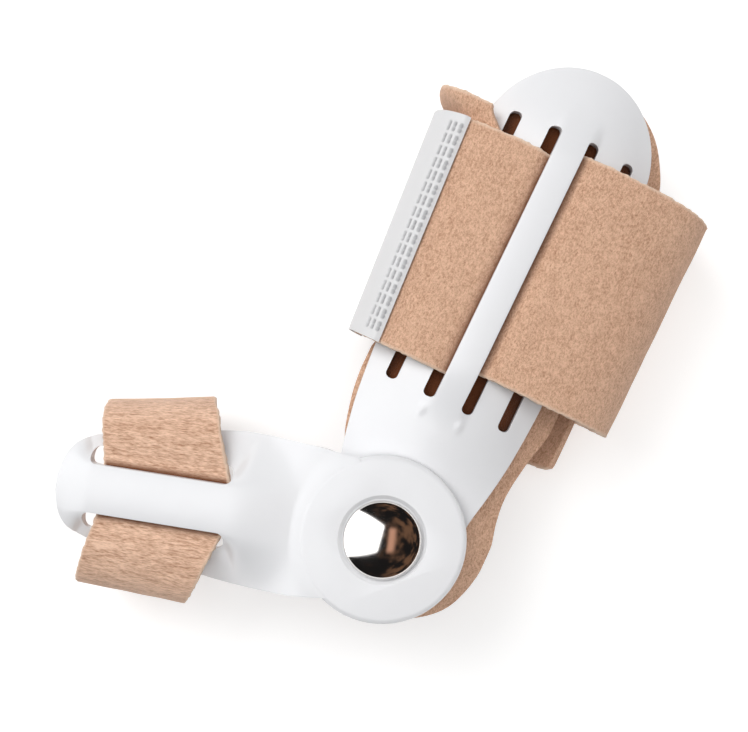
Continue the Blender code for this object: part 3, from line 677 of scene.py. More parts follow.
def slot_dive(side):
    """Points (x, z) of the wide strap from its shoulder down through a slot to the middle under the rib."""
    low = FOOT_CROWN + RIB_LIFT - RIB_DIVE - STRAP_PINCHED / 2
    slot_out = RIB_HALF_WIDTH + SLOT_WIDTH
    crest = FOOT_CROWN + STRAP_CREST
    edge_drop = slot_out ** 2 / (FOOT_HALF_WIDTH ** 2 / FOOT_ARCH_DROP + FOOT_ARCH_DROP)
    over_edge = FOOT_CROWN - edge_drop + GAP + 1.2 * STRAP_PINCHED / 2
    points = (
        (slot_out + 0.35 * (STRAP_SHOULDER - slot_out), 0.35 * crest + 0.65 * (over_edge + 0.0002)),
        (slot_out - 0.0002, over_edge + 0.00005),
        (RIB_HALF_WIDTH + 0.45 * SLOT_WIDTH, 0.5 * (low + over_edge) - 0.0001),
        (RIB_HALF_WIDTH + 0.02 * SLOT_WIDTH, low + 0.0002),
        (0.55 * RIB_HALF_WIDTH, low),
    )
    return [(side * x, z) for x, z in points]


def stretch(points, thickness, slide=0.0):
    """A stretch of a strap's middle line: x, z, thickness and slide along Y at each point."""
    return [(x, z, thickness, slide) for x, z in points]


def foot_strap_line(lean):
    """Middle line of the wide strap at one place across its width."""
    t = STRAP_THICKNESS
    pressed = STRAP_PINCHED
    layer = pressed + GAP
    top = FOOT_CROWN + STRAP_CREST - FOOT_LOOP_MIDDLE
    bottom = FOOT_LOOP_MIDDLE - t / 2
    left_reach = FOOT_STRAP_LEFT + FOOT_STRAP_SKEW * lean - pressed / 2 - STRAP_SHOULDER
    right_reach = FOOT_STRAP_RIGHT - t / 2 - STRAP_SHOULDER
    left = (-STRAP_SHOULDER, FOOT_LOOP_MIDDLE)
    right = (STRAP_SHOULDER, FOOT_LOOP_MIDDLE)
    slide = UNDER_LAYER_SHIFT
    line = stretch(loop_arc(left, left_reach, top, 184, 90, 11), pressed, LEFT_LAYER_SLIDE)
    line += stretch(slot_dive(-1), pressed, LEFT_LAYER_SLIDE)
    line += stretch([(0.0, line[-1][1])], pressed, (LEFT_LAYER_SLIDE + RIGHT_LAYER_SLIDE) / 2)
    line += stretch(slot_dive(1)[::-1], pressed, RIGHT_LAYER_SLIDE)
    line += stretch(loop_arc(right, right_reach, top, 90, 0, 12), t, RIGHT_LAYER_SLIDE)
    line += stretch(loop_arc(right, right_reach, bottom, 0, -90, 12)[1:], t)
    for share in spread(0.0, 1.0, 6)[1:]:
        line.append((STRAP_SHOULDER * (1 - 2 * share), t / 2, t, 0.5 * slide * share))
    inside = left_reach - layer + UNDER_LAYER_BULGE * ease((lean - 0.78) / 0.2)
    rising = loop_arc(left, inside, bottom, -90, -180, 10)[1:]
    line += [(x, z, pressed, slide * (0.5 + 0.5 * k / len(rising))) for k, (x, z) in enumerate(rising)]
    under_end = UNDER_LAYER_END + UNDER_LAYER_SLANT * ease((lean - 0.6) / 0.4)
    under = loop_arc(left, inside, top - layer, 180, under_end, 10)[1:]
    line += [(x, z, pressed, slide * (1 - 0.5 * k / len(under))) for k, (x, z) in enumerate(under)]
    return line


def tab_line(lean):
    """Middle line of the hook tab, from its inner edge over the strap and down the left side."""
    pressed = STRAP_PINCHED
    step = pressed / 2 + GAP + TAB_THICKNESS / 2
    reach = FOOT_STRAP_LEFT + FOOT_STRAP_SKEW * lean - pressed / 2 - STRAP_SHOULDER
    top = FOOT_CROWN + STRAP_CREST - FOOT_LOOP_MIDDLE
    bottom = FOOT_LOOP_MIDDLE - STRAP_THICKNESS / 2 + pressed + GAP
    centre = (-STRAP_SHOULDER, FOOT_LOOP_MIDDLE)
    inner_edge = TAB_START - TAB_SPLAY * (1 - lean) / 2
    start = math.degrees(math.acos(min((inner_edge - STRAP_SHOULDER) / reach, 0.95) ** (LOOP_FULLNESS / 2)))
    line = stretch(loop_arc(centre, reach + step, top + step, 180 - start, 180, 9), TAB_THICKNESS)
    return line + stretch(loop_arc(centre, reach + step, bottom + step, 180, TAB_WRAP, 7)[1:], TAB_THICKNESS)


def tail_line(trim):
    """Middle line of the tail on the inside of the loop, up to its cut end less a trim."""
    depth = STRAP_THICKNESS / 2 + 2 * GAP + TAIL_THICKNESS / 2
    reach = FOOT_STRAP_RIGHT - STRAP_THICKNESS / 2 - STRAP_SHOULDER - depth
    bottom = FOOT_LOOP_MIDDLE - STRAP_THICKNESS / 2 - depth
    end = TAIL_RIGHT - trim
    turn = math.degrees(math.acos(((end - STRAP_SHOULDER) / reach) ** (LOOP_FULLNESS / 2)))
    curve = loop_arc((STRAP_SHOULDER, FOOT_LOOP_MIDDLE), reach, bottom, -turn, -90, 8)
    level = FOOT_LOOP_MIDDLE - bottom
    curve += [(x, level) for x in spread(STRAP_SHOULDER, TAIL_RIGHT - TAIL_LENGTH, 4)[1:]]
    return [(x, z, TAIL_THICKNESS, -TAIL_SLOPE * (TAIL_RIGHT - x)) for x, z in curve]


def toe_strap_line(lean, along):
    """Middle line of the narrow strap at one place across its width, closed round."""
    t = STRAP_THICKNESS
    taper = TOE_STRAP_TAPER * lean
    level = toe_section(along)[2] + TOE_BAR_LIFT - BAR_DIVE - STRAP_PINCHED / 2
    top = level - TOE_LOOP_MIDDLE
    bottom = TOE_LOOP_MIDDLE - t / 2
    near_reach = TOE_STRAP_NEAR - taper - t / 2 - TOE_STRAP_SHOULDER
    far_reach = TOE_STRAP_FAR - 0.3 * taper - t / 2 - TOE_STRAP_SHOULDER
    near = (TOE_OFFSET + TOE_STRAP_SHOULDER, TOE_LOOP_MIDDLE)
    far = (TOE_OFFSET - TOE_STRAP_SHOULDER, TOE_LOOP_MIDDLE)
    under = [(TOE_OFFSET + TOE_STRAP_SHOULDER * share, level) for share in (-0.78, -0.4, 0.0, 0.4, 0.78)]
    below = [(TOE_OFFSET + TOE_STRAP_SHOULDER * share, t / 2) for share in (0.5, 0.0, -0.5)]
    line = stretch(under, STRAP_PINCHED)
    line += stretch(loop_arc(near, near_reach, top, 90, 0, 9), t)
    line += stretch(loop_arc(near, near_reach, bottom, 0, -90, 9)[1:] + below, t)
    line += stretch(loop_arc(far, far_reach, bottom, -90, -180, 9), t)
    line += stretch(loop_arc(far, far_reach, top, 180, 90, 9)[1:], t)
    line += line[:1]
    slid = []
    for x, z, thickness, slide in line:
        beside = 1.0
        if z > TOE_LOOP_MIDDLE:
            beside = min(max((abs(x - TOE_OFFSET) - TOE_BAR_HALF_WIDTH) / TOE_STRAP_SLANT, 0.0), 1.0)
        tucked = max(1 - z / (TOE_TUCK_START * TOE_LOOP_MIDDLE), 0.0) * max(-lean, 0.0)
        at_slot = -TOE_STRAP_PULL + TOE_STRAP_SPREAD * lean
        at_side = TOE_STRAP_OUTWARD + TOE_STRAP_TUCK * tucked
        slid.append((x, z, thickness, at_slot + (at_side - at_slot) * beside))
    return slid


def even_line(line, count):
    """The same line as count + 1 points at even distances, on a smooth curve through its points."""
    marks = [Vector(point) for point in line]
    runs = [0.0]
    for before, after in zip(marks, marks[1:]):
        runs.append(runs[-1] + math.hypot(after[0] - before[0], after[1] - before[1]))
    closed = (marks[0] - marks[-1]).length < 1e-9
    made = []
    k = 0
    for step in range(count + 1):
        run = runs[-1] * step / count
        while k < len(marks) - 2 and runs[k + 1] < run:
            k += 1
        t = (run - runs[k]) / max(runs[k + 1] - runs[k], 1e-9)
        first = marks[k - 1] if k > 0 else (marks[-2] if closed else marks[0] * 2 - marks[1])
        last = marks[k + 2] if k + 2 < len(marks) else (marks[1] if closed else marks[-1] * 2 - marks[-2])
        a, b = marks[k], marks[k + 1]
        smooth = 0.5 * (2 * a + (b - first) * t + (2 * first - 5 * a + 4 * b - last) * t * t
                        + (3 * a - first - 3 * b + last) * t ** 3)
        made.append(smooth)
    return made


def make_band(name, line_at, width, centre, steps, rows, place):
    """A strap modelled from a grid: each row follows the middle line at its place across the width."""
    band = new_grid(name, steps, rows)
    lines = {}
    weights = []
    edge_shares = []

    def where(along_share, across_share):
        key = round(across_share, 5)
        if key not in lines:
            y = centre + across_share * width / 2
            lines[key] = (even_line(line_at(across_share, y), steps), y)
        line, y = lines[key]
        x, z, thickness, slide = line[round((along_share + 1) / 2 * steps)]
        weights.append(min(thickness / STRAP_THICKNESS, 1.0))
        edge_shares.append(1.0 if abs(across_share) > 0.999 else 0.0)
        return Vector((x, y + slide, z))

    place_grid(band, where)
    group = band.vertex_groups.new(name="thickness")
    for index, weight in enumerate(weights):
        group.add([index], weight, 'REPLACE')
    mark_points(band, "cut_edge", edge_shares)
    edit_all(band, bpy.ops.mesh.remove_doubles, threshold=1e-6)
    apply_modifier(band, 'SOLIDIFY', thickness=STRAP_THICKNESS, offset=0.0, vertex_group="thickness",
                   use_even_offset=False)
    settle(band, place)
    return band


def soften(obj, width):
    """Rounds a strap's cut edges."""
    apply_modifier(obj, 'BEVEL', width=width, segments=4, limit_method='ANGLE',
                   angle_limit=math.radians(55.0))
    edit_all(obj, bpy.ops.mesh.normals_make_consistent, inside=False)


def ruffle(obj, amount, scale, seed):
    """Small uneven swelling of a soft surface, along its normals."""
    shift = Vector((seed * 7.1, seed * 3.3, seed * 5.7))
    moves = [(v, v.normal.copy() * amount * noise.noise(v.co * scale + shift)) for v in obj.data.vertices]
    for vertex, move in moves:
        vertex.co += move
    obj.data.update()


def paint_shade_beside(obj, middle, half_width, place, floor):
    """Marks a strap's surface for painted shade beside the bar that it dives under."""
    back = place.inverted()
    shares = []
    for vertex in obj.data.vertices:
        near = back @ vertex.co
        inside = half_width + SHADE_REACH - abs(near.x - middle)
        shares.append(ease(inside / SHADE_REACH) if near.z > floor else 0.0)
    mark_points(obj, "painted_shade", shares)


def fray(obj, amount):
    """Makes a strap's cut edges uneven, as loose fibres do, the same in each run."""
    noise.seed_set(FRAY_SEED)
    marks = obj.data.attributes["cut_edge"].data
    for vertex in obj.data.vertices:
        share = marks[vertex.index].value
        if share > 0.2:
            vertex.co += noise.noise_vector(vertex.co * FRAY_SCALE) * amount * share
    obj.data.update()


def finish_strap(band, edge, swell, body, node, look, bar=()):
    """Rounds a strap's edges, makes it uneven and shades it beside a bar."""
    soften(band, edge)
    ruffle(band, *swell)
    # Painted shade beside the bar or rib that the strap dives under
    if bar:
        paint_shade_beside(band, *bar)
    fray(band, FRAY)
    finish_piece(band, body, look, [node], 80.0)


def make_foot_strap(look):
    """The wide strap, padded, from under the tab round to its own under layer."""
    band = make_band("foot_strap_padded", lambda lean, y: foot_strap_line(lean), FOOT_STRAP_WIDTH, 0.0,
                     300, 64, STRAP_PLACE)
    # Where the strap gets painted shade beside the rib
    rib = (0.0, RIB_HALF_WIDTH - GAP, STRAP_PLACE, FOOT_LOOP_MIDDLE)
    finish_strap(band, STRAP_EDGE, FOOT_STRAP_SWELL, "foot", "foot_strap", look, rib)


def make_toe_strap(look):
    """The narrow strap, a closed padded loop."""
    band = make_band("toe_strap_padded", toe_strap_line, TOE_STRAP_WIDTH, TOE_STRAP_FROM_HINGE,
                     190, 36, TOE_PLACE)
    # Where the strap gets painted shade beside the bar
    bar = (TOE_OFFSET, TOE_BAR_HALF_WIDTH, TOE_PLACE, TOE_LOOP_MIDDLE)
    finish_strap(band, STRAP_EDGE, TOE_STRAP_SWELL, "toe", "toe_strap", look, bar)


def make_strap_tail(look):
    """The strap's plain tail inside the loop, with its corners cut round."""

    def line_at(lean, y):
        from_edge = (1 - abs(lean)) * FOOT_STRAP_WIDTH / 2
        inside = max(TAIL_CORNER - from_edge, 0.0)
        return tail_line(TAIL_CORNER - math.sqrt(max(TAIL_CORNER ** 2 - inside ** 2, 0.0)))

    band = make_band("strap_tail_padded", line_at, FOOT_STRAP_WIDTH, TAIL_CENTRE_Y, 60, 64, STRAP_PLACE)
    finish_strap(band, TAIL_EDGE, TAIL_SWELL, "foot", "strap_tail", look)


def dent(run, across):
    """Depth share of the weld dents at a distance from the tab's inner edge and along its width."""
    first = -DENT_PITCH * (DENT_ROWS - 1) / 2
    row = round((across - first) / DENT_PITCH)
    if row < 0 or row >= DENT_ROWS:
        return 0.0
    from_row = across - first - row * DENT_PITCH
    best = 0.0
    for column in DENT_COLUMNS:
        for lobe in (-DENT_LOBE_APART, DENT_LOBE_APART):
            reach = math.hypot((run - column) / DENT_LOBE_ALONG, (from_row - lobe) / DENT_LOBE_ACROSS)
            best = max(best, 1 - min(reach, 1.0) ** 3)
    return best


def make_hook_tab(look):
    """The hook tab: a grid bent over the strap's side, with its field of weld dents pressed in."""
    depth = bpy.context.scene.splint_finish.dent_depth
    steps = 104
    rows = 312
    tab = new_grid("hook_tab_welded", steps, rows)
    lines = {}
    shares = []

    def where(along_share, across_share):
        key = round(across_share, 5)
        if key not in lines:
            lines[key] = even_line(tab_line(across_share), steps)
        line = lines[key]
        i = round((along_share + 1) / 2 * steps)
        before, after = line[max(i - 1, 0)], line[min(i + 1, steps)]
        length = math.hypot(line[1][0] - line[0][0], line[1][1] - line[0][1])
        out = Vector((before[1] - after[1], 0.0, after[0] - before[0])).normalized()
        y = across_share * FOOT_STRAP_WIDTH / 2
        share = dent(i * length, y)
        shares.append(share)
        place = Vector((line[i][0], y + LEFT_LAYER_SLIDE, line[i][1]))
        feather = TAB_FEATHER * (1 - ease(i * length / TAB_FEATHER_WIDTH))
        return place - out * (TAB_THICKNESS / 2 - max(depth * share, feather))

    place_grid(tab, where)
    # Painted shade in the weld dents, read by the tab's material
    mark_points(tab, "dent_shade", shares)
    apply_modifier(tab, 'SOLIDIFY', thickness=TAB_THICKNESS - TAB_FEATHER, offset=1.0,
                   use_even_offset=False)
    soften(tab, TAB_EDGE)
    finish_piece(tab, "foot", look, ["hook_tab"], 60.0)


def underside(x, along):
    """Height of the foot arm's underside at a place, running on with a flare past its edge."""
    half_width, drop, crown = foot_section(along)
    if drop < 1e-5:
        return crown - SHELL_WALL - PAD_FLARE * max(abs(x) - half_width, 0.0)
    radius = (half_width ** 2 + drop ** 2) / (2 * drop)
    inner = radius - SHELL_WALL
    edge = inner * half_width / radius + PAD_LAP
    reach = min(abs(x), edge)
    level = crown - radius + math.sqrt(max(inner ** 2 - reach ** 2, 0.0))
    return level - PAD_FLARE * (abs(x) - reach)


def make_foot_pad(look):
    """The pad under the foot arm: a grid on the arm's underside, thickened and rounded."""
    pad = new_grid("foot_pad_soft", 44, 150)
    nudge = 0.0002

    def where(across, along):
        share = PAD_SECTIONS[0][0] + (PAD_SECTIONS[-1][0] - PAD_SECTIONS[0][0]) * (along + 1) / 2
        place = share * PAD_REACH
        left = PAD_LEFT * read_table(PAD_SECTIONS, 1, share)
        right = PAD_RIGHT * read_table(PAD_SECTIONS, 2, share)
        x = left + (right - left) * (across + 1) / 2
        slope = (underside(x + nudge, place) - underside(x - nudge, place)) / (2 * nudge)
        down = Vector((slope, 0.0, -1.0)).normalized()
        return Vector((x, place, underside(x, place))) + down * (GAP + PAD_SEAT)

    place_grid(pad, where)
    apply_modifier(pad, 'SOLIDIFY', thickness=PAD_THICKNESS - 2 * PAD_SEAT, offset=-1.0,
                   use_even_offset=False)
    soften(pad, PAD_EDGE)
    ruffle(pad, *PAD_SWELL)
    # Painted shade on the pad where it lies under the shell, fading out just past the shell's edge
    shares = []
    for vertex in pad.data.vertices:
        half_width = foot_section(vertex.co.y)[0] if vertex.co.y > -FOOT_PLATE_RADIUS else 0.0
        inside = half_width - PAD_SHADE_INSET - abs(vertex.co.x)
        shares.append(ease((inside + PAD_SHADE_START) / PAD_SHADE_FADE))
    mark_points(pad, "painted_shade", shares)
    settle(pad, FOOT_PLACE)
    finish_piece(pad, "foot", look, ["foot_pad"], 80.0)


def node_group(name, inputs, outputs):
    """An empty shader node group with named inputs and outputs."""
    group = bpy.data.node_groups.new(name, 'ShaderNodeTree')
    for label, kind, value in inputs:
        socket = group.interface.new_socket(name=label, in_out='INPUT', socket_type=kind)
        if value is not None:
            socket.default_value = value
    for label, kind in outputs:
        group.interface.new_socket(name=label, in_out='OUTPUT', socket_type=kind)
    return group, group.nodes.new('NodeGroupInput'), group.nodes.new('NodeGroupOutput')


def set_inputs(node, values):
    """Sets a node's inputs by name."""
    for name, value in values.items():
        node.inputs[name].default_value = value


def noise_node(tree, vector, scale, detail, roughness=0.5):
    """A noise texture read at a vector."""
    made = tree.nodes.new('ShaderNodeTexNoise')
    set_inputs(made, {'Scale': scale, 'Detail': detail, 'Roughness': roughness})
    tree.links.new(vector, made.inputs['Vector'])
    return made.outputs['Fac']


def mapping_node(tree, vector, rotation=(0.0, 0.0, 0.0), scale=(1.0, 1.0, 1.0)):
    """A vector that is turned and scaled."""
    made = tree.nodes.new('ShaderNodeMapping')
    set_inputs(made, {'Rotation': rotation, 'Scale': scale})
    tree.links.new(vector, made.inputs['Vector'])
    return made.outputs['Vector']


def math_node(tree, operation, first, second):
    """A Math node on two sockets or numbers."""
    made = tree.nodes.new('ShaderNodeMath')
    made.operation = operation
    for socket, value in zip(made.inputs, (first, second)):
        if isinstance(value, (int, float)):
            socket.default_value = value
        else:
            tree.links.new(value, socket)
    return made.outputs[0]


def mix_node(tree, factor, first, second):
    """A colour mixed from two sockets or plain colours."""
    made = tree.nodes.new('ShaderNodeMix')
    made.data_type = 'RGBA'
    tree.links.new(factor, made.inputs['Factor'])
    for name, value in (('A', first), ('B', second)):
        if isinstance(value, tuple):
            made.inputs[name].default_value = (*value, 1.0)
        else:
            tree.links.new(value, made.inputs[name])
    return made.outputs['Result']


def ramp_node(tree, value, low, high, kind='LINEAR'):
    """0 below a low value and 1 above a high one."""
    made = tree.nodes.new('ShaderNodeMapRange')
    made.interpolation_type = kind
    set_inputs(made, {'From Min': low, 'From Max': high})
    tree.links.new(value, made.inputs['Value'])
    return made.outputs['Result']


def nap_group():
    """Brushed loop fabric: fine fibres, small tufts and clumps, with dark gaps between them."""
    group, entry, leave = node_group("Brushed Nap", (
        ("Vector", 'NodeSocketVector', None),
        ("Light", 'NodeSocketColor', (0.7, 0.45, 0.3, 1.0)),
        ("Dark", 'NodeSocketColor', (0.5, 0.3, 0.2, 1.0)),
    ), (("Color", 'NodeSocketColor'), ("Height", 'NodeSocketFloat')))
    vector = entry.outputs['Vector']
    height = 0.0
    for scale, roughness, share in ((5200.0, 0.6, 0.5), (2300.0, 0.6, 0.5), (700.0, 0.5, 0.20)):
        layer = math_node(group, 'MULTIPLY', noise_node(group, vector, scale, 2.0, roughness), share)
        height = math_node(group, 'ADD', layer, height)
    slow = math_node(group, 'MULTIPLY', noise_node(group, vector, 60.0, 1.0), 0.10)
    shade = ramp_node(group, math_node(group, 'ADD', height, slow), 0.46, 0.76)
    color = mix_node(group, shade, entry.outputs['Dark'], entry.outputs['Light'])
    group.links.new(color, leave.inputs['Color'])
    group.links.new(height, leave.inputs['Height'])
    return group


def moulded_group():
    """Moulded plastic: a faint ripple of the mould and fine handling marks in its gloss."""
    group, entry, leave = node_group("Moulded Surface", (
        ("Vector", 'NodeSocketVector', None),
        ("Gloss", 'NodeSocketFloat', 0.2),
    ), (("Roughness", 'NodeSocketFloat'), ("Height", 'NodeSocketFloat'), ("Tone", 'NodeSocketFloat')))
    vector = entry.outputs['Vector']
    ripple = noise_node(group, vector, 55.0, 2.0)
    grain = math_node(group, 'MULTIPLY', noise_node(group, vector, 2600.0, 2.0), 0.03)
    marks = noise_node(group, vector, 240.0, 4.0, 0.65)
    worn = math_node(group, 'MULTIPLY', marks, 0.10)
    group.links.new(math_node(group, 'ADD', entry.outputs['Gloss'], worn), leave.inputs['Roughness'])
    group.links.new(math_node(group, 'ADD', ripple, grain), leave.inputs['Height'])
    group.links.new(marks, leave.inputs['Tone'])
    return group


def new_material(name):
    """A material with its Principled shader and Object coordinates."""
    material = bpy.data.materials.new(name)
    material.use_nodes = True
    tree = material.node_tree
    coordinates = tree.nodes.new('ShaderNodeTexCoord')
    return tree, tree.nodes['Principled BSDF'], coordinates.outputs['Object']


def use_group(tree, group, vector, values):
    """A node group in a material, read at a vector."""
    made = tree.nodes.new('ShaderNodeGroup')
    made.node_tree = group
    tree.links.new(vector, made.inputs['Vector'])
    set_inputs(made, values)
    return made


def add_bump(tree, shader, height, strength, distance):
    """Feeds a height through a Bump node to the shader."""
    bump = tree.nodes.new('ShaderNodeBump')
    set_inputs(bump, {'Strength': strength, 'Distance': distance})
    tree.links.new(height, bump.inputs['Height'])
    tree.links.new(bump.outputs['Normal'], shader.inputs['Normal'])


def attribute_mix(tree, attribute, color, far):
    """A colour that turns to a second one where a mesh attribute is 1."""
    reader = tree.nodes.new('ShaderNodeAttribute')
    reader.attribute_name = attribute
    return mix_node(tree, reader.outputs['Fac'], color, far)


def fabric_material(name, group, light, dark, turn, along):
    """Brushed loop fabric whose fibres lie along one direction."""
    tree, shader, vector = new_material(name)
    turned = mapping_node(tree, vector, rotation=(0.0, 0.0, turn))
    vector = mapping_node(tree, turned, scale=(1.0, along, 1.0))
    nap = use_group(tree, group, vector, {'Light': (*light, 1.0), 'Dark': (*dark, 1.0)})
    # Painted shade where the pad lies under the shell and beside the bar or rib that a strap dives under
    color = attribute_mix(tree, "painted_shade", nap.outputs['Color'], PAINTED_SHADE_COLOR)
    # The paler cut edges, with a painted highlight where their fibres catch the light
    color = attribute_mix(tree, "cut_edge", color, CUT_EDGE_TONE_AND_HIGHLIGHT)
    tree.links.new(color, shader.inputs['Base Color'])
    set_inputs(shader, {
        'Roughness': 0.95,
        'Specular IOR Level': 0.1,
        'Sheen Weight': 0.25,
        'Sheen Roughness': 0.5,
        'Sheen Tint': (1.0, 0.88, 0.80, 1.0),
    })
    add_bump(tree, shader, nap.outputs['Height'], 1.0, 0.0004)


def plastic_material(name, group, color, gloss, coat):
    """White plastic, with shade painted in where a mesh attribute marks its dents."""
    tree, shader, vector = new_material(name)
    surface = use_group(tree, group, vector, {'Gloss': gloss})
    tree.links.new(surface.outputs['Roughness'], shader.inputs['Roughness'])
    tone = mix_node(tree, surface.outputs['Tone'], color, tuple(0.97 * share for share in color))
    # Painted shade in the weld dents
    tree.links.new(attribute_mix(tree, "dent_shade", tone, DENT_SHADE_COLOR), shader.inputs['Base Color'])
    set_inputs(shader, {'IOR': 1.5, 'Coat Weight': coat, 'Coat Roughness': 0.22})
    add_bump(tree, shader, surface.outputs['Height'], 0.25, 0.0002)


def chrome_material(group):
    """Polished chrome with a trace of handling in its gloss."""
    tree, shader, vector = new_material("Polished Chrome")
    surface = use_group(tree, group, vector, {'Gloss': 0.03})
    tree.links.new(surface.outputs['Roughness'], shader.inputs['Roughness'])
    set_inputs(shader, {'Base Color': (0.80, 0.78, 0.76, 1.0), 'Metallic': 1.0})
    add_bump(tree, shader, surface.outputs['Height'], 0.06, 0.0001)


def get_materials():
    """The five materials, made once and found again by name."""
    if "Brushed Loop Fabric" not in bpy.data.materials:
        colors = bpy.context.scene.splint_finish
        nap = nap_group()
        surface = moulded_group()
        dark = tuple(colors.fabric_dark)
        fabric_material("Brushed Loop Fabric", nap, tuple(colors.fabric_color), dark, 0.0, 0.6)
        fabric_material("Toe Loop Fabric", nap, tuple(colors.toe_fabric_color), dark, -TOE_ANGLE, 0.16)
        plastic_material("Moulded White Plastic", surface, tuple(colors.plastic_color), 0.30, 0.25)
        plastic_material("Hook Tab White", surface, tuple(colors.tab_color), 0.45, 0.0)
        chrome_material(surface)
    return bpy.data.materials


class SPLINT_OT_arms(bpy.types.Operator):
    """Models the two moulded arms"""
    bl_idname = "splint.arms"
    bl_label = "Moulded Arms"

    def execute(self, context):
        looks = get_materials()
        make_foot_shell(looks["Moulded White Plastic"])
        make_toe_shell(looks["Moulded White Plastic"])
        return {'FINISHED'}


class SPLINT_OT_rivet(bpy.types.Operator):
    """Models the hinge rivet"""
    bl_idname = "splint.rivet"
    bl_label = "Hinge Rivet"

    def execute(self, context):
        make_rivet(get_materials()["Polished Chrome"])
        return {'FINISHED'}


class SPLINT_OT_pad(bpy.types.Operator):
    """Models the foot arm's pad"""
    bl_idname = "splint.pad"
    bl_label = "Foot Pad"

    def execute(self, context):
        make_foot_pad(get_materials()["Brushed Loop Fabric"])
        return {'FINISHED'}


class SPLINT_OT_straps(bpy.types.Operator):
    """Models the two straps and the tail"""
    bl_idname = "splint.straps"
    bl_label = "Straps"

    def execute(self, context):
        looks = get_materials()
        make_foot_strap(looks["Brushed Loop Fabric"])
        make_strap_tail(looks["Brushed Loop Fabric"])
        make_toe_strap(looks["Toe Loop Fabric"])
        return {'FINISHED'}


class SPLINT_OT_tab(bpy.types.Operator):
    """Models the hook tab"""
    bl_idname = "splint.tab"
    bl_label = "Hook Tab"

    def execute(self, context):
        make_hook_tab(get_materials()["Hook Tab White"])
        return {'FINISHED'}


def add_light(name, place, power, width, height, color):
    """A soft rectangular light aimed at the middle of the view, unseen in the chrome."""
    data = bpy.data.lights.new(name, 'AREA')
    data.shape = 'RECTANGLE'
    data.size = width
    data.size_y = height
    data.energy = power
    data.color = color
    light = bpy.data.objects.new(name, data)
    light.location = place
    light.rotation_euler = (VIEW_CENTRE - place).to_track_quat('-Z', 'Y').to_euler()
    light.visible_glossy = False
    bpy.context.scene.collection.objects.link(light)


def half_plane(tree, first, second, edge):
    """A soft mask of the side of a straight edge between two coordinates."""
    first_share, second_share, offset, softness = edge
    along_first = math_node(tree, 'MULTIPLY', first, first_share)
    along_second = math_node(tree, 'MULTIPLY', second, second_share)
    total = math_node(tree, 'ADD', math_node(tree, 'ADD', along_first, along_second), offset)
    return ramp_node(tree, total, -softness, softness, 'SMOOTHSTEP')


def edged_shape(tree, first, second, edges):
    """A soft mask of the area inside several straight edges."""
    mask = 1.0
    for edge in edges:
        mask = math_node(tree, 'MULTIPLY', half_plane(tree, first, second, edge), mask)
    return mask


def studio_dome(centre, turn):
    """The studio that shiny surfaces reflect: a white panel to the left, warm and dark elsewhere."""
    dome = new_shape(bpy.ops.mesh.primitive_uv_sphere_add, "studio_dome", segments=64, ring_count=32,
                     radius=DOME_RADIUS)
    material = bpy.data.materials.new("Studio Dome")
    material.use_nodes = True
    tree = material.node_tree
    tree.nodes.clear()
    output = tree.nodes.new('ShaderNodeOutputMaterial')
    emission = tree.nodes.new('ShaderNodeEmission')
    tree.links.new(emission.outputs[0], output.inputs['Surface'])
    coordinates = tree.nodes.new('ShaderNodeTexCoord').outputs['Object']
    unit = 1 / DOME_RADIUS
    turned = mapping_node(tree, coordinates, rotation=(0.0, 0.0, -turn), scale=(unit, unit, unit))
    parts = tree.nodes.new('ShaderNodeSeparateXYZ')
    tree.links.new(turned, parts.inputs['Vector'])
    across, ahead, up = parts.outputs
    white = edged_shape(tree, across, ahead, PANEL_EDGES)
    stripe = edged_shape(tree, across, ahead, STRIPE_EDGES)
    horizon = half_plane(tree, up, across, HORIZON_EDGE)
    patches = math_node(tree, 'SUBTRACT', noise_node(tree, turned, 3.0, 4.0, 0.6), 0.52)
    right_side = ramp_node(tree, across, -0.4, 0.4, 'SMOOTHSTEP')
    warm = math_node(tree, 'MULTIPLY', ramp_node(tree, patches, -0.08, 0.08, 'SMOOTHSTEP'), right_side)
    color = mix_node(tree, warm, STUDIO_DARK, STUDIO_WARM)
    color = mix_node(tree, stripe, color, STUDIO_STRIPE)
    color = mix_node(tree, math_node(tree, 'MAXIMUM', white, horizon), color, STUDIO_WHITE)
    tree.links.new(color, emission.inputs['Color'])
    dome.data.materials.append(material)
    settle(dome, Matrix.Translation(centre))
    for kind in ("camera", "diffuse", "transmission", "volume_scatter", "shadow"):
        setattr(dome, "visible_" + kind, False)
    return dome


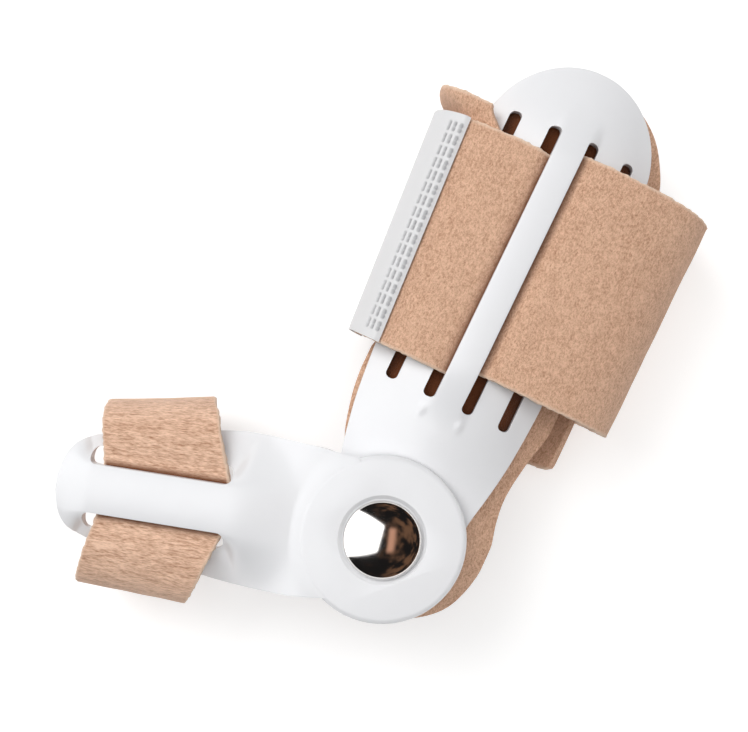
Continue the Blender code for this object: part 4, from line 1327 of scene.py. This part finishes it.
class SPLINT_OT_stage(bpy.types.Operator):
    """Sets up the floor, the light and the camera"""
    bl_idname = "splint.stage"
    bl_label = "Stage"

    def execute(self, context):
        stage = context.scene.splint_stage
        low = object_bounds()[0].z - FLOOR_DROP
        floor = new_shape(bpy.ops.mesh.primitive_plane_add, "floor", size=FLOOR_SIZE, location=(0, 0, low))
        material = bpy.data.materials.new("Pale Floor")
        material.use_nodes = True
        set_inputs(material.node_tree.nodes['Principled BSDF'], {
            'Base Color': (0.70, 0.70, 0.70, 1.0),
            'Roughness': 1.0,
            'Specular IOR Level': 0.0,
            'Emission Color': (1.0, 1.0, 1.0, 1.0),
            'Emission Strength': stage.floor_glow,
        })
        floor.data.materials.append(material)
        dome = studio_dome(HINGE + Vector((0, 0, TOE_DISC_TOP)), stage.turn)
        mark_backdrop(floor, dome)
        turned = Matrix.Rotation(stage.turn, 3, 'Z')
        for name, right, ahead, up, share, width, height, color in LIGHTS:
            place = VIEW_CENTRE + turned @ Vector((right, ahead, up))
            add_light(name, place, stage.key_power * share, width, height, color)
        context.scene.world = bpy.data.worlds.new("studio")
        context.scene.world.use_nodes = True
        background = context.scene.world.node_tree.nodes['Background']
        set_inputs(background, {'Color': (1.0, 1.0, 1.0, 1.0), 'Strength': stage.fill})
        camera_data = bpy.data.cameras.new("camera")
        camera_data.lens = stage.lens
        camera_data.sensor_width = SENSOR_WIDTH
        camera_data.clip_start = 0.01
        camera = bpy.data.objects.new("camera", camera_data)
        camera.location = VIEW_CENTRE + Vector((0, 0, stage.height))
        camera.rotation_euler = (0.0, 0.0, stage.turn)
        context.scene.collection.objects.link(camera)
        context.scene.camera = camera
        context.scene.view_settings.view_transform = 'Standard'
        return {'FINISHED'}


class SPLINT_PT_panel(bpy.types.Panel):
    """The splint's sizes, colours and steps"""
    bl_label = "Bunion Corrector"
    bl_idname = "SPLINT_PT_panel"
    bl_space_type = 'VIEW_3D'
    bl_region_type = 'UI'
    bl_category = "Splint"

    def draw(self, context):
        layout = self.layout
        for settings in (context.scene.splint_finish, context.scene.splint_stage):
            for key in settings.bl_rna.properties.keys():
                if key not in ("rna_type", "name"):
                    layout.prop(settings, key)
        for step in STEPS:
            layout.operator(step.bl_idname)


STEPS = (SPLINT_OT_arms, SPLINT_OT_rivet, SPLINT_OT_pad, SPLINT_OT_straps, SPLINT_OT_tab, SPLINT_OT_stage)
CLASSES = (SplintFinish, SplintStage, *STEPS, SPLINT_PT_panel)


def register():
    for cls in CLASSES:
        bpy.utils.register_class(cls)
    bpy.types.Scene.splint_finish = bpy.props.PointerProperty(type=SplintFinish)
    bpy.types.Scene.splint_stage = bpy.props.PointerProperty(type=SplintStage)


def unregister():
    del bpy.types.Scene.splint_stage
    del bpy.types.Scene.splint_finish
    for cls in reversed(CLASSES):
        bpy.utils.unregister_class(cls)


def main():
    register()
    bpy.ops.splint.arms()
    bpy.ops.splint.rivet()
    bpy.ops.splint.pad()
    bpy.ops.splint.straps()
    bpy.ops.splint.tab()
    bpy.ops.splint.stage()


if __name__ == "__main__":
    main()
